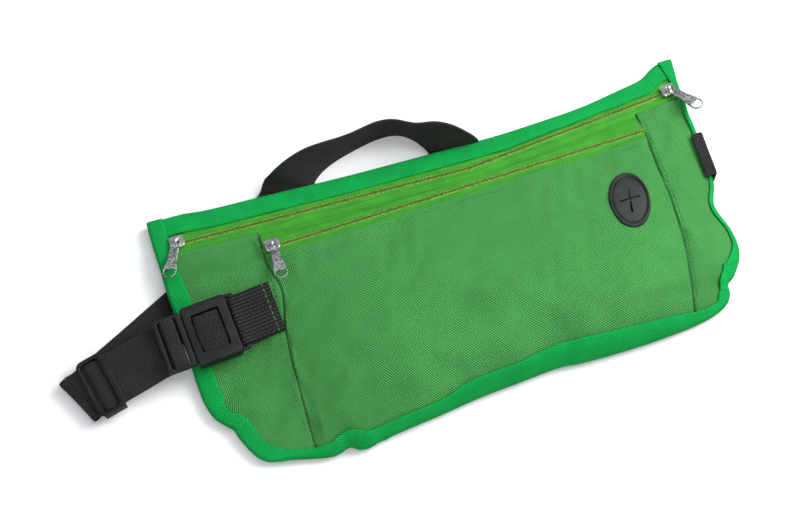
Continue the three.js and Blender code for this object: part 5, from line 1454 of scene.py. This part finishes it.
def make_strap_end():
    lap = WEB_THICK / 2 + GAP
    under = -1.6 - lap - 2 * GAP
    top = 0.6 + lap
    rows = [(-16.0 + lap, under + WEB_THICK), (-16.0 + lap, 0), (-16.0 + lap * 0.6, top * 0.75), (-16.0 - lap * 0.4, top),
            (-18.3, top + 0.15), (-20.7, top), (-20.7 - lap * 0.7, top * 0.7), (-20.7 - lap, 0), (-20.7 - lap, -1.6),
            (-22.8 - WEB_THICK, under)]
    stations = profile(rows, in_buckle)
    glide = 31.5
    for s, lift in ((1.2, 0), (8, 0), (16, 0), (22, 0), (glide - 6.5, 0), (glide - 4.6, -0.1), (glide - 3, 0.2),
                    (glide - 1.5, 0.9), (glide + 0.5, 1.35), (glide + 2.6, 1.1), (glide + 4.2, 0.25), (glide + 6.5, 0),
                    (STRAP_LENGTH, 0)):
        stations.append((on_strap(s, lift), STRAP_ACROSS, STRAP_UP))
    # Its end is cut along the slanted fold that the lower layer makes
    belt_piece("top_webbing", stations, "belt_top_layer", "strap_end", 150,
               shear=lambda run: FOLD_SLANT * np.clip((run - run[-1] + 9) / 9, 0, 1))
    # The return layer comes back under it and loops round the adjuster's middle bar
    start = in_buckle(-16.0 + WEB_THICK, 0, -1.6 - WEB_THICK / 2 - 3 * GAP - LAYER)
    loop = 0.75 + GAP + WEB_THICK / 2
    stations = [(start, in_buckle(0, 1, 0) - in_buckle(0, 0, 0), np.array([0, 0, 1.0]))]
    stations += [(on_strap(s, -LAYER), STRAP_ACROSS, STRAP_UP) for s in (1.2, 12, 24)]
    for angle in np.linspace(0, math.pi, 7):
        up = STRAP_UP * math.cos(angle) + STRAP_AWAY * math.sin(angle)
        stations.append((on_strap(32.8 + loop * math.sin(angle), -LAYER - loop + loop * math.cos(angle)), STRAP_ACROSS, up))
    stations.append((on_strap(29.9, -LAYER - 2 * loop), STRAP_ACROSS, -STRAP_UP))
    belt_piece("return_webbing", stations, "belt_return_layer", "strap_end", 120)


def standing(rows, steps):
    """Stations of belt that leans: where its inner edge lies, which way it faces and its tilt."""
    rows = np.array(rows, float)
    t = np.linspace(0, 1, steps)
    places = smooth_curve(rows[:, :2] * [HALF_LENGTH, HALF_HEIGHT], t)
    marks = np.linspace(0, 1, len(rows))
    lean = np.radians(smooth_table(list(zip(marks, rows[:, 2])), t))
    tilt = np.radians(smooth_table(list(zip(marks, rows[:, 3])), t))
    across = np.stack([np.cos(lean) * np.cos(tilt), np.sin(lean) * np.cos(tilt), np.sin(tilt)], 1)
    centre = np.concatenate([places, np.zeros((steps, 1))], 1) + across * WEB / 2
    centre[:, 2] += WEB_THICK / 2 * np.cos(tilt)
    travel = np.gradient(centre, axis=0)
    up = np.cross(travel, across)
    up /= np.linalg.norm(up, axis=1, keepdims=True)
    return [(c, a, u) for c, a, u in zip(centre, across, up)]


LOWER_ROUTE = [(-1.3348, -0.2615, 117, 0), (-1.0704, 0.0123, 117, 0), (-0.9156, 0.1754, 118, 0),
               (-0.7578, 0.3508, 118, 0)]
ARCH_ROUTE = [(-0.7548, 0.3554, 118, 0), (-0.585, 0.5615, 130, 0), (-0.4741, 0.7615, 144, 0),
              (-0.43, 0.86, 152, 3), (-0.405, 0.945, 157, 17), (-0.393, 0.99, 160, 37), (-0.376, 1.04, 158, 55),
              (-0.35, 1.083, 150, 69), (-0.319, 1.118, 138, 80), (-0.281, 1.149, 124, 87),
              (-0.235, 1.178, 112, 91), (-0.185, 1.205, 104, 93), (-0.133, 1.225, 97, 94),
              (-0.075, 1.225, 83, 96), (-0.03, 1.191, 60, 97), (0.003, 1.129, 46, 94), (0.018, 1.078, 30, 86),
              (0.028, 1.03, 8, 65), (0.033, 0.995, -4, 38), (0.036, 0.965, -3, 13), (0.038, 0.93, 0, 3),
              (0.041, 0.87, 3, 0), (0.059, 0.72, 25, 0)]
RIGHT_ROUTE = [(0.0605, 0.716, 25, 0), (0.1, 0.58, 45, 0), (0.19, 0.37, 62, 0), (0.3704, 0.2231, 76, 0),
               (0.6296, 0.1615, 85, 0), (0.9185, 0.1462, 90, 0)]


def make_lower_layer():
    """The fold at the far left, then the belt that runs back under the bag."""
    route = standing(LOWER_ROUTE, 9)
    start, first = on_strap(STRAP_LENGTH + GAP, 0), route[0]
    outward = -np.cross(first[1], [0, 0, 1.0])
    outward *= np.sign(outward @ STRAP_AWAY)
    reach, middle = (start[2] - first[0][2]) / 2, (start[2] + first[0][2]) / 2
    stations = []
    for angle in np.linspace(0, math.pi, 12)[:-1]:
        share = angle / math.pi
        centre = start + (first[0] - start) * share**2
        centre[2] = middle + reach * math.cos(angle)
        centre = centre + outward * reach * math.sin(angle)
        stations.append((centre, first[1], np.array([0, 0, math.cos(angle)]) + outward * math.sin(angle)))
    stations += [(c, a, -u) for c, a, u in route]
    belt_piece("lower_webbing", stations, "belt_lower_layer", "strap_end", 130)


def make_anchor():
    """The belt's end, folded over the right edge and sewn through it."""
    y0, width = 21.2, WEB * 0.9
    steps = np.linspace(-width / 2, width / 2, 5)
    edge = max(float(right_edge(y0 + d)) for d in steps)
    clear = PANEL / 2 + 2 * GAP + BINDING
    lap = [max(float(front_z(edge - s, y0 + d)) for s in np.linspace(0, 5, 6)) + clear + GAP for d in steps]
    half = WEB_THICK / 2
    shares = np.array([-1, -0.985, -0.95, -0.8, -0.55, -0.3, 0, 0.3, 0.55, 0.8, 0.95, 0.985, 1])
    thick = half * np.array([0.3, 0.62, 0.95, 1, 1, 1, 1, 1, 1, 1, 0.95, 0.62, 0.3])
    columns = []
    for s, t, z in zip(shares, thick, np.interp(shares * width / 2, steps, lap) + half):
        y = y0 + s * width / 2
        outer = float(right_edge(y)) + GAP + half + 0.2
        r = 0.9
        path = [(outer - 5.0, z), (outer - 3.0, z), (outer - r - 0.6, z)]
        path += [(outer - r + r * math.sin(a), z - r + r * math.cos(a)) for a in np.linspace(0, math.pi / 2, 5)]
        path += [(outer, z * 0.5 + half)]
        path += [(outer - r + r * math.cos(a), half + r - r * math.sin(a)) for a in np.linspace(0, math.pi / 2, 5)]
        path += [(outer - 3.0, half), (outer - 5.0, half)]
        path = np.array(path)
        travel = np.gradient(path, axis=0)
        travel /= np.linalg.norm(travel, axis=1, keepdims=True)
        normal = np.stack([-travel[:, 1], travel[:, 0]], 1)
        out, into = path + normal * t, path - normal * t
        columns.append([np.stack([p[:, 0], np.full(len(p), y), p[:, 1]], 1) for p in (out, into)])
    upper = np.stack([c[0] for c in columns], 1)
    lower = np.stack([c[1] for c in columns], 1)
    obj = slab("anchor_webbing", upper, lower)
    edge_split_smooth(obj, 70)
    finish_piece(obj, "belt", "webbing", "root", "belt_anchor")


def make_belt():
    make_tab()
    make_strap_end()
    make_lower_layer()
    belt_piece("arch_webbing", standing(ARCH_ROUTE, 120), "belt_arch", "root", 220, wave=5)
    belt_piece("right_webbing", standing(RIGHT_ROUTE, 40), "belt_right_run", "root", 120)
    make_anchor()


# Stitches


def seam_stitches():
    """Green thread rows along the hems and beside the upright seams."""
    rows = []
    x = np.linspace(ZIP_LEFT + 8, ZIP_RIGHT - 8, 240)
    hem = chain_y(x) - HEM - 1.6
    keep = hem - bottom_edge(np.clip(x, -120, 125)) > 10
    x, hem = x[keep], hem[keep]
    left = x < seam_x(LEFT_SEAM_FINE, hem) - 1
    right = x > seam_x(RIGHT_SEAM_FINE, hem) + 1
    lift = PANEL / 2 + 0.12
    for part in (left, right):
        rows.append(np.stack([x[part], hem[part], cloth_z(x[part], hem[part]) + lift], -1))
    x = np.linspace(POCKET_X[0] + 1.5, POCKET_X[1] - 1.5, 240)
    y = pocket_chain_y(x) - POCKET_HEM - 1.5
    rows.append(np.stack([x, y, cloth_z(x, y) + lift], -1))
    for seam, side in ((LEFT_SEAM_FINE, -1), (RIGHT_SEAM_FINE, 1)):
        line = seam_line(seam, end_hem, 120, side * 2.4)[3:-6]
        rows.append(np.column_stack([line, cloth_z(line[:, 0], line[:, 1]) + lift]))
    obj = repeat_along("seam_stitches", rows, bead(2.0, 0.5, 0.42), 2.7, "green_thread")
    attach(obj, "root")
    # Stitches in the upright seams' grooves, dark with painted shade
    rows = []
    for seam in (LEFT_SEAM_FINE, RIGHT_SEAM_FINE):
        line = seam_line(seam, end_hem, 160, 0)[4:-4]
        rows.append(np.column_stack([line, cloth_z(line[:, 0], line[:, 1]) + PANEL / 2 + 0.35]))
    obj = repeat_along("groove_stitches", rows, bead(2.3, 0.7, 0.6), 2.1, "groove_shade_thread")
    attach(obj, "root")

def belt_stitches():
    """The tab's cross row in green, and the anchor's box in dark thread."""
    rows = [[in_buckle(x, y, tab_level(x, 1) + WEB_THICK / 2 + 0.1) for y in np.linspace(-11.8, 11.8, 30)]
            for x in (29.8,)]
    obj = repeat_along("tab_stitches", rows, bead(2.2, 0.6, 0.5), 2.9, "green_thread")
    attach(obj, "root")


# Stage


def lamp(name, place, size, power, target, colour=(1, 1, 1)):
    data = bpy.data.lights.new(name, "AREA")
    data.shape, data.size, data.energy, data.color = "DISK", size, power, colour
    obj = bpy.data.objects.new(name, data)
    obj.location = place
    obj.rotation_euler = (Vector(target) - Vector(place)).to_track_quat("-Z", "Y").to_euler()
    bpy.context.scene.collection.objects.link(obj)
    return obj


def make_stage():
    """A pale floor, three soft lamps and the camera where the photograph's was."""
    scene = bpy.context.scene
    look = scene.pouch_colours
    material, tree = start_material("Pale floor")
    ray = add_node(tree, "ShaderNodeLightPath", out="Is Camera Ray")
    seen = add_node(tree, "ShaderNodeBsdfDiffuse", {"Color": look.floor})
    bounced = add_node(tree, "ShaderNodeBsdfDiffuse", {"Color": (0.55, 0.55, 0.55, 1)})
    both = add_node(tree, "ShaderNodeMixShader", {0: ray, 1: bounced, 2: seen})
    add_node(tree, "ShaderNodeOutputMaterial", {"Surface": both})
    mesh = bpy.data.meshes.new("floor")
    mesh.from_pydata([(-4, -4, 0), (4, -4, 0), (4, 4, 0), (-4, 4, 0)], [], [(0, 1, 2, 3)])
    floor = bpy.data.objects.new("floor", mesh)
    floor.data.materials.append(material)
    floor.location.z = -0.0002
    scene.collection.objects.link(floor)
    target = Vector((0.003348, 0.007575, 0))
    a, e = math.radians(-17), math.radians(70)
    back = Vector((math.sin(a) * math.cos(e), -math.cos(a) * math.cos(e), math.sin(e)))
    camera = bpy.data.objects.new("camera", bpy.data.cameras.new("camera"))
    camera.data.lens, camera.data.sensor_width, camera.data.sensor_fit = 102.96, 36, "HORIZONTAL"
    camera.location = target + back * 1.1
    camera.rotation_euler = back.to_track_quat("Z", "Y").to_euler()
    scene.collection.objects.link(camera)
    scene.camera = camera
    lamps = [
        lamp("key", (0.62, 0.12, 0.62), 0.6, 9, target),
        lamp("fill", (-0.15, -0.8, 0.75), 0.9, 4.5, target),
        lamp("top", (0.1, 0.2, 1.4), 1.2, 5, target),
    ]
    world = bpy.data.worlds.new("Studio")
    world.use_nodes = True
    world.node_tree.nodes["Background"].inputs[0].default_value = (0.9, 0.93, 1.0, 1)
    world.node_tree.nodes["Background"].inputs[1].default_value = 0.32
    scene.world = world
    scene.view_settings.view_transform = "Standard"


# The add-on: settings, one operator for each group of pieces, and a panel that lists them


def colour(name, hex_colour, text):
    return bpy.props.FloatVectorProperty(
        name=name, description=text, size=4, min=0, max=1, subtype="COLOR", default=linear(hex_colour))


class PouchColours(bpy.types.PropertyGroup):
    # The panel's light colour is a painted highlight on the threads' crowns; its dark colour gives darker random
    # patches and painted shade between the threads
    panel: colour("Panel", "#3b9240", "Main green of the polyester")
    panel_patches_and_shade: colour("Panel hollows", "#1f6429", "Green between the threads and in the duller patches")
    panel_crown_highlight: colour("Panel threads", "#82d686", "Green on the crowns of the threads")
    # The binding's flecks are a painted highlight where its threads cross; its dark colour gives darker random patches
    # and painted shade between the threads
    binding: colour("Binding", "#0ba348", "Bright green of the grosgrain")
    binding_patches_and_shade: colour("Binding hollows", "#06742f", "Green between its ribs")
    binding_crown_highlight: colour("Binding flecks", "#35c870", "Pale flecks on its ribs")
    # The tape's light colour is a painted highlight on its threads; its dark colour gives darker random patches and
    # painted shade between them
    tape: colour("Zip tape", "#3fa02c", "Yellow-green of the zip tapes")
    tape_patches_and_shade: colour("Tape hollows", "#2f7a2c", "Green between the tape's threads")
    tape_crown_highlight: colour("Tape threads", "#66b43a", "Yellow-green on its threads")
    coil: colour("Coil", "#8db54a", "Nylon of the zip's teeth")
    coil_dark: colour("Coil shade", "#477d26", "Its darker turns")
    # The webbing's flecks are a painted glint on its ribs; its dark colour gives darker random patches and painted
    # shade between the ribs
    belt: colour("Webbing", "#2b2828", "Near black of the belt")
    belt_patches_and_shade: colour("Webbing hollows", "#171516", "Between its ribs")
    belt_crown_highlight: colour("Webbing flecks", "#5f5b5a", "Glints on its ribs")
    buckle: colour("Buckle", "#1f2020", "Satin black of the mouldings")
    buckle_dark: colour("Buckle shade", "#131414", "Its duller patches")
    # The port rubber's slight green cast is a painted reflection of the cloth round it
    rubber: colour("Port rubber", "#2c312e", "Dark grey of the cable port")
    rubber_dark: colour("Rubber shade", "#232824", "Its duller patches")
    nickel: colour("Nickel", "#f0f2f2", "Plate of the sliders")
    nickel_dark: colour("Nickel shade", "#c4c8c8", "Its duller patches")
    pull: colour("Pull", "#b6bbb9", "Plate of the pebbled pulls")
    pull_dark: colour("Pull hollows", "#686d6b", "Hollows between its pebbles")
    thread: colour("Green thread", "#2f8f3c", "Sewing thread of the bag")
    thread_dark: colour("Thread shade", "#206b2b", "Its twist")
    # The seam thread's dark green is painted shade of the grooves, laid on real stitches
    seam: colour("Seam thread", "#173d1c", "Dark thread in the upright seams")
    seam_dark: colour("Seam thread shade", "#0e2812", "Its twist")
    floor: colour("Floor", "#fdfdfd", "Pale studio floor")


def stage_operator(identifier, label, text, action):
    def execute(self, context):
        action()
        return {"FINISHED"}

    kind = type("POUCH_OT_" + identifier, (bpy.types.Operator,), {
        "bl_idname": "pouch." + identifier, "bl_label": label, "__doc__": text, "execute": execute})
    return kind


STEPS = [
    stage_operator("materials", "Materials", "Make the cloths, webbing, nylon, rubber and metal", make_materials),
    stage_operator("panels", "Cloth panels", "Settle and sew the bag's five cloth panels", make_panels),
    stage_operator("bindings", "Bindings", "Fold the two grosgrain strips over the bag's edges", make_bindings),
    stage_operator("zips", "Zips", "Make the four tapes and the four toothed coils", make_zips),
    stage_operator("sliders", "Sliders and pulls", "Make the three nickel sliders and their pulls", make_sliders),
    stage_operator("port", "Cable port", "Make the oval rubber cable port", make_port),
    stage_operator("buckle", "Buckle", "Make the side-release buckle and its dimpled button", make_buckle),
    stage_operator("glide", "Strap adjuster", "Make the adjuster on the strap", make_glide),
    stage_operator("belt", "Belt", "Make the tab, the strap, the slack loop and the anchor", make_belt),
    stage_operator("seams", "Seam stitches", "Sew the rows of green stitches", seam_stitches),
    stage_operator("tab_rows", "Belt stitches", "Sew the belt's ends down", belt_stitches),
    stage_operator("stage", "Stage", "Set the floor, the lamps and the camera", make_stage),
]


class POUCH_PT_panel(bpy.types.Panel):
    """Lists the steps that build the pouch"""

    bl_label = "Treat pouch"
    bl_space_type = "VIEW_3D"
    bl_region_type = "UI"
    bl_category = "Pouch"

    def draw(self, context):
        for step in STEPS:
            self.layout.operator(step.bl_idname)


CLASSES = (PouchColours, *STEPS, POUCH_PT_panel)


def register():
    for kind in CLASSES:
        bpy.utils.register_class(kind)
    bpy.types.Scene.pouch_colours = bpy.props.PointerProperty(type=PouchColours)


def unregister():
    del bpy.types.Scene.pouch_colours
    for kind in reversed(CLASSES):
        bpy.utils.unregister_class(kind)


def main():
    register()
    for step in STEPS:
        group, name = step.bl_idname.split(".")
        getattr(getattr(bpy.ops, group), name)()


if __name__ == "__main__":
    main()
